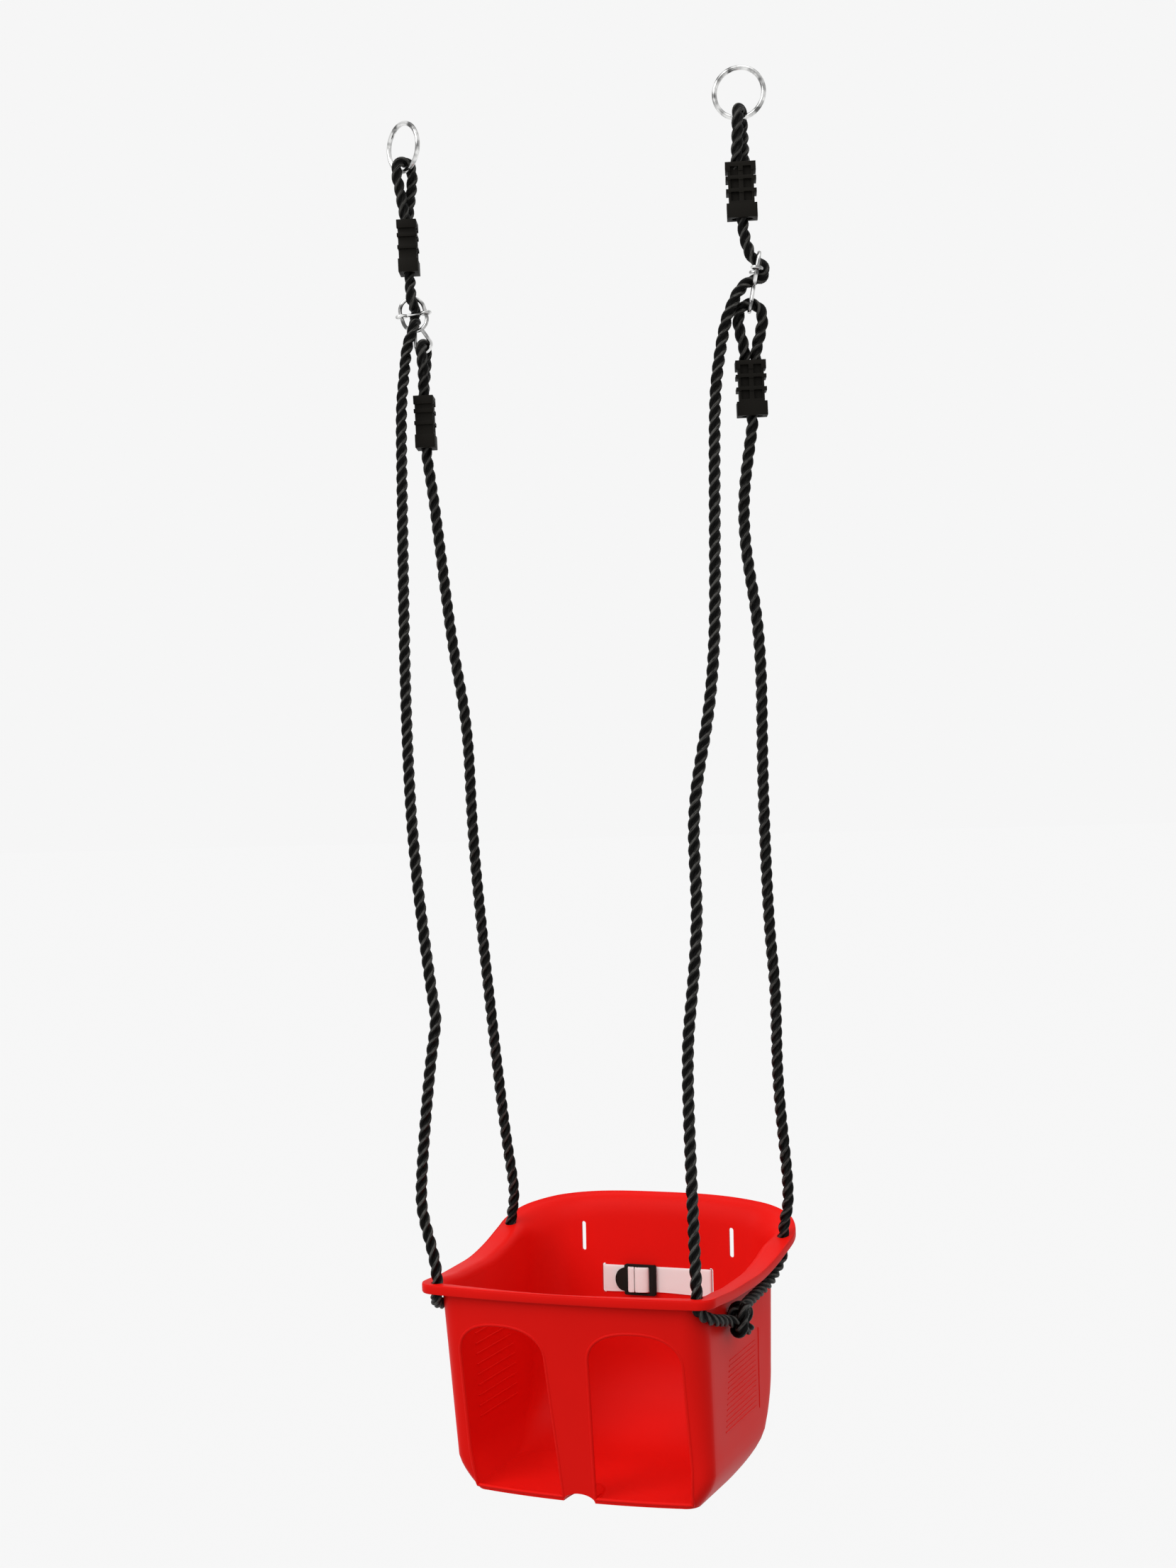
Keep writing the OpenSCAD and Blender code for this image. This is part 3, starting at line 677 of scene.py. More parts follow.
@dataclass
class SeatShell:
    """The moulded seat: one wall with a flared rim, leg openings, slots and holes."""

    drop: float = 1180.0
    forward: float = 36.0
    wall_half: float = 141.0
    wall_half_low: float = 137.0
    floor_half: float = 120.0
    front_top: float = 105.0
    front_low: float = 78.0
    front_bow: float = 9.0
    back_top: float = 149.0
    depth: float = 212.0
    back_rise: float = 47.5
    front_flare: float = 2.5
    front_rise: float = 3.0
    scoop_r: float = 95.0
    wall: float = 3.0
    front_corner: float = 28.0
    back_corner: float = 40.0
    leg_w: float = 98.0
    post_w: float = 45.0
    leg_top: float = 35.0
    leg_head: float = 34.0
    leg_round: float = 0.85
    upper_slots: float = 172.0
    upper_slot_z: float = -1.0
    lower_slots: float = 124.0
    lower_slot_z: float = 45.0
    slot_len: float = 31.5
    slot_w: float = 5.0
    hole_d: float = 12.5
    base_rise: float = 33.0
    base_bend: float = 1.6
    back_draft: float = 4.0
    rim_fillet: float = 10.0
    back_fillet: float = 30.0
    rim_lip: float = 9.5
    rim_out: tuple[float, float, float, float] = (8.0, 17.0, 27.0, 14.0)
    rim_corner: float = 17.0
    rim_round: float = 2.0
    hole_front: Flat = (140.0, -101.0)
    hole_back: Flat = (157.0, 110.0)
    post_low: float = 34.0
    notch_h: float = 8.6
    notch_deep: float = 46.0
    sill: float = 1.0
    bead: float = 3.6
    bead_depth: float = 1.1
    seam: float = 1.3
    seam_in: float = 0.7
    seam_low: float = 0.6
    counts: tuple[int, int, int, int] = (26, 24, 20, 14)
    side_lifts: Sequence[Point] = ((0.36, 5, 135), (0.06, 60, 60))
    back_lift: Point = (0.58, 98, 52)
    ear_lift: Flat = (0.45, 0.5)
    back_blend: Flat = (85.0, 65.0)
    back_step: float = 2.0
    lip_edge: float = 0.6
    rim_flat: float = 5.0
    leg_cut: Flat = (18.0, -52.0)
    slot_cut: Flat = (-15.0, 15.0)
    hole_cuts: Sequence[Flat] = ((-15.0, 25.0), (-10.0, 50.0))
    foot: Sequence[float] = (0.0, 0.25, 0.8, 1.7, 3.0, 4.7, 7.0, 10.0, 14.0, 19.0, 25.0)
    upper_wall: Sequence[float] = (-85.0, -60.0, -35.0)

    @property
    def z_floor(self) -> float:
        """Height of the floor's underside."""
        return -self.depth

    @property
    def z_curve(self) -> float:
        """Height at which the side walls start to turn in to the floor."""
        return self.z_floor + self.base_rise

    @property
    def z_scoop(self) -> float:
        """Height at which the back starts to sweep forward."""
        return self.z_floor + self.scoop_r

    def placed(self, points: Sequence[Sequence[float]]) -> np.ndarray:
        """Moves points from the seat's own frame to the model's, in metres."""
        return (np.asarray(points) - np.array([0.0, self.forward, self.drop])) * MM

    def half_at(self, z: float) -> float:
        """Half width of the outside at a height."""
        d = clamp((self.z_curve - z) / self.base_rise)
        t = clamp(z / self.z_curve)
        straight = self.wall_half + (self.wall_half_low - self.wall_half) * t
        return straight - (self.wall_half_low - self.floor_half) * d**self.base_bend

    def front_at(self, z: float) -> float:
        """Place of the front wall at its corners, at a height."""
        return -(self.front_top + (self.front_low - self.front_top) * z / self.z_floor)

    def back_at(self, z: float, inset: float = 0.0) -> float:
        """Place of the back wall at a height, set in by a distance."""
        lean = math.tan(math.radians(self.back_draft))
        if z >= self.z_scoop:
            return self.back_top + z * lean - inset
        low = self.back_top + self.z_scoop * lean
        rest = max(0.0, (self.scoop_r - inset) ** 2 - (z - self.z_scoop) ** 2)
        return low - self.scoop_r + math.sqrt(rest)

    def corner_at(self, z: float) -> float:
        """Radius of the front corners at a height."""
        return self.front_corner * (1.0 - 0.5 * clamp(z / self.z_curve))

    def plan(self, half: Flat, ends: Flat, radii: Flat, bow: float) -> np.ndarray:
        """The stations of a rounded four-sided outline.

        Args:
            half: Half widths at the front and the back.
            ends: Places of the front and the back.
            radii: Corner radii at the front and the back.
            bow: How far the front's middle stands out.

        Returns:
            The stations, as X and Y.
        """
        (hf, hb), (yf, yb), (rf, rb) = half, ends, radii
        nf, ns, nb, nc = self.counts
        out: list[Flat] = []
        for x in np.linspace(-(hf - rf), hf - rf, nf + 1)[1:-1]:
            out.append((x, yf - bow * (1 - (x / (hf - rf)) ** 2)))
        out += arc(hf - rf, yf + rf, rf, -90, 0, nc + 1)
        for t in np.linspace(0, 1, ns + 1)[1:-1]:
            out.append((hf + (hb - hf) * t, yf + rf + (yb - rb - yf - rf) * t))
        out += arc(hb - rb, yb - rb, rb, 0, 90, nc + 1)
        out += [(x, yb) for x in np.linspace(hb - rb, -(hb - rb), nb + 1)[1:-1]]
        out += arc(-(hb - rb), yb - rb, rb, 90, 180, nc + 1)
        for t in np.linspace(0, 1, ns + 1)[1:-1]:
            out.append((-(hb + (hf - hb) * t), yb - rb + (yf + rf - yb + rb) * t))
        out += arc(-(hf - rf), yf + rf, rf, 180, 270, nc + 1)
        return np.array(out)

    def section(self, z: float, inset: float) -> np.ndarray:
        """The shell's outline at a height, set in by a distance."""
        half = self.half_at(z) - inset
        turned = clamp((self.z_curve - z) / self.base_rise)
        return self.plan(
            (half + self.front_flare * (1.0 - turned), half),
            (self.front_at(z) + inset, self.back_at(z, inset)),
            (self.corner_at(z) - inset, self.back_corner - inset),
            self.front_bow,
        )

    def rise_at(self, p: np.ndarray) -> float:
        """Height of the rim's outer edge at a place in plan."""
        far = self.wall_half + self.rim_out[2] + self.rim_corner
        at, over = (share * self.front_top for share in self.ear_lift)
        ears = ease((-p[1] - at) / over)
        sides = sum(share * ease((p[1] - at) / over) for share, at, over in self.side_lifts)
        share, at, over = self.back_lift
        crown = share * ease((p[1] - at) / over) * max(0.0, 1 - (abs(p[0]) / far) ** 3)
        return self.front_rise * ears + self.back_rise * (sides + crown)

    def rim_plan(self) -> np.ndarray:
        """The rim's outer edge in plan."""
        front, side, side_back, back = self.rim_out
        return self.plan(
            (self.wall_half + side, self.wall_half + side_back),
            (-self.front_top - front, self.back_top + back),
            (self.rim_corner, self.back_corner + 12),
            self.front_bow,
        )

    def columns(self) -> np.ndarray:
        """The wall's profile at each station, from the floor inside round to outside."""
        foot = np.array(self.foot)
        inner_foot = self.wall + foot * (1.0 - self.wall / foot[-1] * 0.9)
        scoop = np.linspace(self.z_scoop - 46, self.z_scoop + 8, 8)
        wall = [self.z_curve, self.z_curve + 12, *scoop, *self.upper_wall]
        heights = [*(self.z_floor + foot), *wall]
        inside = [*(self.z_floor + inner_foot), *wall]
        inner = [self.section(z, self.wall) for z in inside]
        outer = [self.section(z, 0.0) for z in heights]
        r, th, half = self.rim_round, self.wall, self.wall / 2
        out = []
        for i, q in enumerate(self.rim_plan()):
            zo = self.rise_at(q)
            back = ease((q[1] - self.back_blend[0]) / self.back_blend[1])
            fv = self.rim_fillet + (self.back_fillet - self.rim_fillet) * back
            zw = zo - self.back_step * back - fv
            p, po = self.section(zw, self.wall)[i], self.section(zw, 0.0)[i]
            w = float(np.linalg.norm(q - p))
            wt = float(np.linalg.norm(po - p))
            fh = self.rim_fillet + (w - self.rim_flat - self.rim_fillet) * back
            across = [
                *((fh * (1 - c), zw + fv * s) for c, s in arc(0, 0, 1, 0, 90, 9)),
                *((w - r * (1 - c), zo - r * (1 - s)) for c, s in arc(0, 0, 1, 90, 0, 6)),
                *arc(w - half, zo - self.rim_lip + half, half, 0, -180, 4),
                (w - th, zo - th - self.lip_edge),
                (w - th - self.lip_edge, zo - th),
                *(
                    (wt + (fh - wt) * (1 - c), zw - th + fv * s)
                    for c, s in arc(0, 0, 1, 90, 0, 9)
                ),
            ]
            u = (q - p) / w
            column = [(*inner[k][i], z) for k, z in enumerate(inside)]
            column += [(p[0] + u[0] * d, p[1] + u[1] * d, z) for d, z in across]
            column += [(*outer[k][i], z) for k, z in reversed([*enumerate(heights)])]
            out.append(column)
        return np.array(out)

    def body(self) -> Piece:
        """Builds the whole wall as one closed skin, before it is cut."""
        columns = self.columns()
        count, n, _ = columns.shape
        faces: list[Sequence[int]] = []
        for i in range(count):
            j = (i + 1) % count
            for k in range(n - 1):
                faces.append((i * n + k, j * n + k, j * n + k + 1, i * n + k + 1))
        faces.append([i * n for i in range(count - 1, -1, -1)])
        faces.append([i * n + n - 1 for i in range(count)])
        return face_out(mesh_object("seat_skin", self.placed(columns.reshape(-1, 3)), faces))

    def leg_outline(self, steps: int = 40) -> list[Flat]:
        """The right-hand leg opening, as X and Z, from its outer top corner on."""
        middle, half = (self.post_w + self.leg_w) / 2, self.leg_w / 2
        low = self.z_floor + self.wall + self.sill
        out = []
        for c, s in arc(0, 0, 1, 0, 180, steps + 1):
            x = middle + half * math.copysign(abs(c) ** self.leg_round, c)
            rise = self.leg_head * max(0.0, s) ** self.leg_round
            out.append((x, -self.leg_top - self.leg_head + rise))
        out.append((self.post_low / 2, low))
        out.append((self.floor_half - self.wall, low))
        out.append((self.post_w / 2 + self.leg_w, self.z_curve + 8))
        return out

    def prism(self, outline: Sequence[Flat], ends: Flat) -> Piece:
        """A cutter with an outline in X and Z between two places in Y."""
        levels = (self.placed([(x, y, z) for x, z in outline]) for y in ends)
        return solid_between("cutter", *levels)

    def post(self, x: float, y: float, ends: Flat) -> Piece:
        """A round cutter for a rope hole, which stands on end."""
        turn = arc(x, y, self.hole_d / 2, 0, 360, 49)[:-1]
        levels = (self.placed([(*p, z) for p in turn]) for z in ends)
        return solid_between("cutter", *levels)

    def arch(self, grow: float, whole: bool) -> Piece:
        """The hollow under the post's foot, or its cover inside the floor.

        Args:
            grow: How much larger it is than the hollow.
            whole: Whether it also reaches below and before the seat.

        Returns:
            A closed rounded form.
        """
        front = -self.front_low - self.front_bow
        wide, deep = self.post_low / 2 + grow, self.notch_deep + grow
        high = self.notch_h + grow
        nearest, lift = (-deep, 0.0) if whole else (self.wall / 2, 0.5)
        tiers = arc(0, 0, 1, -90, 90, 33)[1:-1] if whole else arc(0, 0, 1, 0, 90, 17)[:-1]
        points = []
        for level, rise in tiers:
            for c, s in arc(0, 0, 1, 0, 360, 65)[:-1]:
                y = front + max(deep * level * s, nearest)
                points.append((wide * level * c, y, self.z_floor + high * rise + lift))
        top = self.z_floor + high + lift
        if whole:
            points += [(0.0, front, self.z_floor - high), (0.0, front, top)]
        else:
            points.append((0.0, front + nearest, top))
        piece = new_object("arch", bpy.data.meshes.new("arch"))
        with edited(piece.data) as edit:
            for p in self.placed(points):
                edit.verts.new(p)
            bmesh.ops.remove_doubles(edit, verts=edit.verts, dist=1e-5)
            hull = bmesh.ops.convex_hull(edit, input=edit.verts)
            spare = {*hull["geom_interior"], *hull["geom_unused"]}
            spare = [v for v in spare if isinstance(v, bmesh.types.BMVert)]
            bmesh.ops.delete(edit, geom=spare, context="VERTS")
            bmesh.ops.recalc_face_normals(edit, faces=edit.faces)
        return piece

    def slot_outline(self, x: float, z: float) -> list[Flat]:
        """A belt slot with round ends, as X and Z."""
        r, h = self.slot_w / 2, (self.slot_len - self.slot_w) / 2
        return arc(x, z + h, r, 0, 180, 13) + arc(x, z - h, r, 180, 360, 13)

    def cutters(self) -> list[Piece]:
        """Every cutter of the shell's openings."""
        legs = self.leg_outline()
        through = tuple(reach - self.front_low for reach in self.leg_cut)
        out = [self.prism([(s * x, z) for x, z in legs], through) for s in (1, -1)]
        out.append(self.arch(0.0, whole=True))
        slots = ((self.upper_slots, self.upper_slot_z), (self.lower_slots, -self.lower_slot_z))
        through = tuple(reach + self.back_top for reach in self.slot_cut)
        for s in (-1, 1):
            for apart, z in slots:
                out.append(self.prism(self.slot_outline(s * apart / 2, z), through))
            for (x, y), ends in zip((self.hole_front, self.hole_back), self.hole_cuts):
                out.append(self.post(s * x, y, ends))
        return out

    def front_face(self, x: float, z: float) -> float:
        """Place of the front wall's outside at a place across and a height."""
        corner = self.corner_at(z)
        flat = self.half_at(z) + self.front_flare - corner
        y = self.front_at(z)
        if abs(x) <= flat:
            return y - self.front_bow * (1 - (x / flat) ** 2)
        d = min(corner, abs(x) - flat)
        return y + corner - math.sqrt(max(0.0, corner**2 - d**2))

    def side_at(self, y: float, z: float, inside: bool) -> float:
        """Half width of a side wall's face at a place along it and a height."""
        first = self.front_at(z) + self.corner_at(z)
        last = self.back_at(z) - self.back_corner
        flare = self.front_flare * (1.0 - clamp((y - first) / (last - first)))
        return self.half_at(z) + flare - (self.wall if inside else 0.0)

    def build(self, palette: Palette) -> None:
        """Builds, cuts and dresses the shell, with its beads and its seam."""
        steps = [("UNION", self.arch(self.wall, whole=False))]
        steps += [("DIFFERENCE", cutter) for cutter in self.cutters()]
        shell = combined(self.body(), "seat_shell", steps, 32.0)
        dress(shell, Body.SWING, palette.shell, ["bucket"])
        for side in Side:
            self.line(f"{side.word}_leg_bead", self.bead_path(side), self.bead, palette)
        self.line("rim_seam", self.seam_path(), self.seam, palette, step=2.5)

    def line(
        self,
        name: str,
        path: Sequence[Point],
        thick: float,
        palette: Palette,
        step: float = 1.5,
    ) -> None:
        """Raises a closed round line on the shell, of a thickness and a mesh step."""
        host = wire_object("line", self.placed(path), closed=True)
        tree = wire_tree(name, thick * MM, step * MM)
        dress(tree.run(host, name, palette.shell), Body.SWING)

    def bead_path(self, side: Side) -> list[Point]:
        """The line of the rounded bead round a leg opening."""
        outline = self.leg_outline(60)
        path = []
        for (x0, z0), (x1, z1) in zip(outline, outline[1:] + outline[:1]):
            steps = max(1, int(math.hypot(x1 - x0, z1 - z0) / 4))
            for t in np.arange(steps) / steps:
                x, z = x0 + (x1 - x0) * t, z0 + (z1 - z0) * t
                path.append((side.value * x, self.front_face(x, z) + self.bead_depth, z))
        return path

    def seam_path(self) -> np.ndarray:
        """The line of the mould's fine seam round the rim's outer edge."""
        edge = np.array([(*q, self.rise_at(q) - self.seam_low) for q in self.rim_plan()])
        return edge - np.array([self.seam_in, self.seam_in, 0.0]) * np.sign(edge)


@dataclass(frozen=True)
class RibPanel:
    """A field of fine level ribs on a side wall."""

    name: str
    inside: bool
    count: int
    pitch: float
    top: float
    start: float
    end: float
    short: float
    lead: float
    width: float
    edge: bool

    def strips(self) -> Iterator[list[Flat]]:
        """The ribs' middle lines, each as places along the wall and heights."""
        n, fade, apart = 24, 0.35, 10.0
        for row in range(self.count):
            z = self.top - row * self.pitch
            begin = self.start - self.lead * row / self.count
            finish = self.end - self.short * fade**row
            yield [(y, z) for y in np.linspace(begin, finish, n)]
        if self.edge:
            low = self.top - self.count * self.pitch
            heights = np.linspace(self.top + 2 * self.pitch, low, n)
            yield [(self.end + apart, z) for z in heights]

    def build(self, seat: SeatShell, side: Side, palette: Palette) -> None:
        """Raises the ribs on one wall."""
        points: list[Point] = []
        edges: list[tuple[int, int]] = []
        for strip in self.strips():
            first = len(points)
            points += [(side.value * seat.side_at(y, z, self.inside), y, z) for y, z in strip]
            edges += [(i, i + 1) for i in range(first, len(points) - 1)]
        name = f"{side.word}_{self.name}"
        host = mesh_object("rib_lines", seat.placed(points), edges=edges)
        tree = wire_tree(name, self.width * MM, 4 * MM)
        dress(tree.run(host, name, palette.shell), Body.SWING)


RIB_PANELS = (
    RibPanel("inner_ribs", True, 9, 10.8, -68.0, -26.0, 62.0, 60.0, 0.0, 1.7, False),
    RibPanel("outer_ribs", False, 14, 5.2, -79.0, -22.0, 58.0, 0.0, 16.0, 1.1, True),
)


# ---- ropes ---------------------------------------------------------------------


@dataclass
class LaidRope:
    """One rope, from its upper eye through the adjuster and under the seat's rim."""

    side: Side
    top: Sequence[Point]
    back: Sequence[Point]
    seat: SeatShell
    diameter: float = 10.5
    lay: float = 38.0
    knot_at: Point = (154, -21, -38)
    knot_r: float = 14.0
    knot_rise: float = 6.4
    knot_turn: Flat = (30.0, 330.0)
    knot_shift: Flat = (6.0, 0.16)
    knot_n: int = 18
    step: float = 1.2
    rounds: int = 24
    fullness: float = 1.15
    strand: float = 0.51
    under_front: Sequence[Point] = (
        (0, 0, -3), (2, 0, -12), (8, 13, -20.5), (9.5, 33, -26.5), (9.2, 55, -32),
    )
    under_back: Sequence[Point] = (
        (3, -137, -25), (-1, -112, -24), (-3, -72, -23), (-3, -38, -20), (-2, -12, -10),
        (0, -2, 1),
    )

    def knot(self) -> list[Point]:
        """The overhand knot's own turns, on the right-hand side of the seat."""
        x, y, z = self.knot_at
        third, (start, sweep) = self.knot_r / 3, self.knot_turn
        (shift, entry) = self.knot_shift
        out: list[Point] = []
        for i in range(self.knot_n + 1):
            s = i / self.knot_n
            t = math.radians(start - sweep * s)
            aside = shift * (ease(s / entry) - 1 + ease((s - 1 + entry) / entry))
            out.append(
                (
                    x + self.knot_rise * math.sin(3 * t) + aside,
                    y - third * (math.sin(t) + 2 * math.sin(2 * t)),
                    z - third * (math.cos(t) - 2 * math.cos(2 * t)),
                )
            )
        return out

    def route(self) -> np.ndarray:
        """The whole rope's middle line, in metres."""
        (fx, fy), (bx, by) = self.seat.hole_front, self.seat.hole_back
        run = [
            *((fx + x, fy + y, z) for x, y, z in self.under_front),
            *self.knot(),
            *((bx + x, by + y, z) for x, y, z in self.under_back),
        ]
        ahead, low = self.seat.forward, self.seat.drop
        under = [(self.side.value * x, y - ahead, z - low) for x, y, z in run]
        line = spline([*self.top, *under, *self.back], 12)
        return evened(line, self.step, self.rounds) * MM

    def tree(self) -> GeometryTree:
        """A rope of three strands that wind round a line."""
        sizes = {
            "Radius": self.diameter / 2 * self.fullness * MM,
            "Lay Length": self.lay * MM,
            "Step": 1.6 * MM,
            "Strand Width": self.strand,
        }
        tree = GeometryTree(f"{self.side.word}_laid_rope", sizes)
        sheet, start = tree.sheet, tree.start
        spot = sheet.add("GeometryNodeSplineParameter").outputs
        line = tree.captured(tree.even_line(), Along=spot["Length"])
        turn = sheet.math("DIVIDE", sheet.times(spot["Length"], 2 * math.pi), start["Lay Length"])
        twisted = sheet.out("GeometryNodeSetCurveTilt", {"Curve": line[0], "Tilt": turn})
        ring = sheet.out("GeometryNodeCurvePrimitiveCircle", {"Resolution": 24, "Radius": 1.0})
        angle = sheet.times(spot["Factor"], 2 * math.pi)
        third = 2 * math.pi / 3
        wrapped = sheet.math("FLOORED_MODULO", sheet.plus(angle, third / 2), third)
        offset = sheet.math("SUBTRACT", wrapped, third / 2)
        a = start["Strand Width"]
        b = sheet.math("SUBTRACT", 1.0, a)
        side = sheet.times(b, sheet.math("SINE", offset))
        rest = sheet.math("SUBTRACT", sheet.times(a, a), sheet.times(side, side))
        reach = sheet.plus(sheet.times(b, sheet.math("COSINE", offset)), sheet.math("SQRT", rest))
        radius = sheet.times(reach, start["Radius"])
        place = sheet.vector(
            sheet.times(radius, sheet.math("COSINE", angle)),
            sheet.times(radius, sheet.math("SINE", angle)),
            0.0,
        )
        triple = sheet.times(angle, 3.0)
        crest, flank = sheet.math("COSINE", triple), sheet.math("SINE", triple)
        lobed = tree.captured(ring, Crest=crest, Flank=flank)
        profile = sheet.out(
            "GeometryNodeSetPosition", {"Geometry": lobed[0], "Position": place}
        )
        lay = sheet.vector(lobed["Crest"], lobed["Flank"], line["Along"])
        stored = sheet.out(
            "GeometryNodeStoreNamedAttribute",
            {"Geometry": tree.swept(twisted, profile), "Name": "lay", "Value": lay},
            data_type="FLOAT_VECTOR",
            domain="POINT",
        )
        tree.close(stored)
        return tree

    def build(self, palette: Palette) -> None:
        path = self.route()
        name = f"{self.side.word}_laid_rope"
        piece = self.tree().run(wire_object("rope_line", path), name, palette.rope)
        dress(piece, Body.SWING, nodes=[f"{self.side.word}_rope"])


LEFT_TOP: Sequence[Point] = (
    (-187, -5, -106), (-187, -5, -92), (-187, -6, -78), (-189, -8, -62), (-191, -8, -46),
    (-193, -10, -32), (-192.5, -8, -19), (-189, 0, -15), (-185.5, 8, -19), (-185, 10, -32),
    (-186, 8, -46), (-188, 6, -62), (-190, 5, -78), (-190, 5, -95), (-189, 2, -114),
    (-188, 0, -126), (-187, -2, -142), (-184, -8, -156), (-184, -6, -166),
    (-185, 0, -169.5), (-187, 6, -172), (-188, 8, -178), (-187, 6, -184),
    (-185, 0, -187), (-183, -6, -190), (-184, -9, -198), (-189, -13, -214),
    (-189, -21, -241), (-189, -32, -280), (-186, -43, -345), (-182, -58, -449),
    (-177, -76, -596), (-167, -93, -743), (-146, -108, -887), (-141, -111, -916),
    (-147, -117, -960), (-157, -130, -1080), (-154, -132, -1114), (-143, -136, -1150),
    (-140, -137, -1171),
)
LEFT_BACK: Sequence[Point] = (
    (-157, 74, -1164), (-153, 71, -1148), (-148, 68, -1122), (-152, 61, -1062),
    (-157, 49, -925), (-161, 34, -751), (-158, 27, -650), (-160, 23, -592),
    (-168, 18, -522), (-176, 9, -380), (-180, 4, -330), (-180, 4, -312),
    (-179, 1, -298), (-178, -1, -283), (-178, -1, -268), (-176, -4, -253),
    (-174, -7, -238), (-174, -9, -224), (-176, -6, -213), (-177, 3, -209),
    (-179, 12, -213), (-181, 15, -224), (-182, 14, -238), (-183, 11, -253),
    (-182, 9, -268), (-182, 9, -280), (-182, 9, -292),
)
RIGHT_TOP: Sequence[Point] = (
    (183, -2, -98), (183, -2, -88), (184, -3, -74), (186, -6, -60), (188.5, -9, -45),
    (190, -11, -31), (190, -8, -19), (189, 0, -16), (188, 8, -19), (187, 11, -31),
    (188, 9, -45), (189.5, 5, -60), (190.5, 2, -74), (191, 2, -88), (189.5, 1, -105),
    (187, 0, -118), (187, 0, -130), (189, -1, -144), (193, -3, -157), (197, -1, -167),
    (203, 2, -170), (207, 3, -178), (204, 2, -185), (197, -1, -187), (190, -5, -190),
    (183, -13, -200), (177, -19, -216), (171, -22, -233), (164, -33, -285),
    (163, -43, -340), (164, -60, -460), (163, -69, -543), (157, -78, -615),
    (145, -86, -680), (140, -91, -735), (144, -100, -812), (138, -109, -890),
    (132, -114, -952), (136, -127, -1075), (139, -135, -1148), (140, -137, -1171),
)
RIGHT_BACK: Sequence[Point] = (
    (157, 74, -1164), (161, 70, -1144), (168, 67, -1112), (165, 55, -1000),
    (170, 47, -905), (168, 41, -831), (172, 30, -686), (178, 22, -590), (178, 17, -520),
    (171, 13, -455), (172, 10, -399), (184, 6, -340), (187, 4, -326), (187, 4, -312),
    (190, 5, -298), (192, 6, -282), (192, 6, -267), (194, 5, -254), (199, 4, -240),
    (203, 2, -225), (200, 0, -214), (192, -3, -210), (184, -5, -213), (180, -7, -226),
    (181, -4, -240), (183, 0, -254), (182, 2, -267), (182, 2, -280), (182, 2, -292),
)


# ---- hardware ------------------------------------------------------------------


SLEEVE_PLACES: dict[tuple[Side, str], tuple[Point, float]] = {
    (Side.LEFT, "upper"): ((-188.5, 0.0, -79.0), -67.0),
    (Side.LEFT, "lower"): ((-180.0, 4.0, -265.0), 112.0),
    (Side.RIGHT, "upper"): ((187.0, 0.0, -70.0), 20.0),
    (Side.RIGHT, "lower"): ((187.0, 4.0, -266.0), 22.0),
}


@dataclass
class Hardware:
    """Rings, clamp sleeves and rope adjusters, finished from their solids."""

    frame: dict[str, Any]
    palette: Palette
    height: float = 55.0
    width: float = 30.5
    depth: float = 21.0
    collar: float = 14.0
    band: float = 3.0
    rows: int = 3
    pocket: Flat = (8.0, 6.0)
    bridge: float = 4.0
    post: float = 5.0
    floor_at: float = 3.9

    def wires(self, body: Body, names: dict[str, str]) -> None:
        """Copies the bright wire nodes of both sides, each under its new name."""
        for side in Side:
            for old, new in names.items():
                node = f"{side.word}_{old}"
                piece = cad_copy(self.frame, node, f"{side.word}_{new}", angle=50)
                dress(piece, body, self.palette.wire, [node])

    def pockets(self, place: Point, turn: float) -> Piece:
        """The cutter that deepens the two columns of pockets on a sleeve's faces.

        Args:
            place: The middle of the sleeve's top face.
            turn: Its turn about the vertical, in degrees.

        Returns:
            One mesh with a block for each pocket.
        """
        row = (self.height - self.collar - self.band) / self.rows
        size = Matrix.Diagonal((*self.pocket, row - self.bridge, 1.0))
        spot = Matrix.Translation(place) @ Matrix.Rotation(math.radians(turn), 4, "Z")
        cutter = new_object("pockets", bpy.data.meshes.new("pockets"))
        x, y = (self.width - self.post) / 4, self.depth / 2 - self.floor_at + self.pocket[1] / 2
        with edited(cutter.data) as edit:
            for face in (-1, 1):
                for column in (-1, 1):
                    for k in range(self.rows):
                        z = 0.5 - self.band - row * (k + 1) + row / 2
                        at = Matrix.Translation((column * x, face * y, z))
                        bmesh.ops.create_cube(edit, size=1.0, matrix=at @ size)
            bmesh.ops.transform(edit, matrix=Matrix.Scale(MM, 4) @ spot, verts=edit.verts)
        return cutter

    def sleeves(self) -> None:
        """The four clamp sleeves, with their edges rounded and their pockets cut."""
        for (side, level), place in SLEEVE_PLACES.items():
            node = f"{side.word}_{level}_sleeve"
            name = f"{side.word}_{level}_clamp_sleeve"
            piece = cad_copy(self.frame, node, name, bevel=1.1 * MM)
            piece = combined(piece, name, [("DIFFERENCE", self.pockets(*place))], 35.0)
            dress(piece, Body.SWING, self.palette.black, [node])

    def build(self) -> None:
        """Builds all the hardware."""
        self.wires(Body.RINGS, {"ring": "hanging_ring"})
        self.sleeves()
        parts = {"adjuster": "adjuster_wire", "adjuster_bar": "adjuster_bar_wire"}
        self.wires(Body.SWING, parts)


# ---- belt ----------------------------------------------------------------------

LEFT_HUMP = ((-13.2, -0.6), (-13.1, -3.4), (-11.2, -5.6), (-8.6, -6.3), (-6.1, -5.3))
RIGHT_HUMP = (
    (-4.5, -5.3), (-2.6, -6.6), (1.5, -7.0), (6.2, -6.4), (9.2, -4.4), (9.9, -0.6),
)


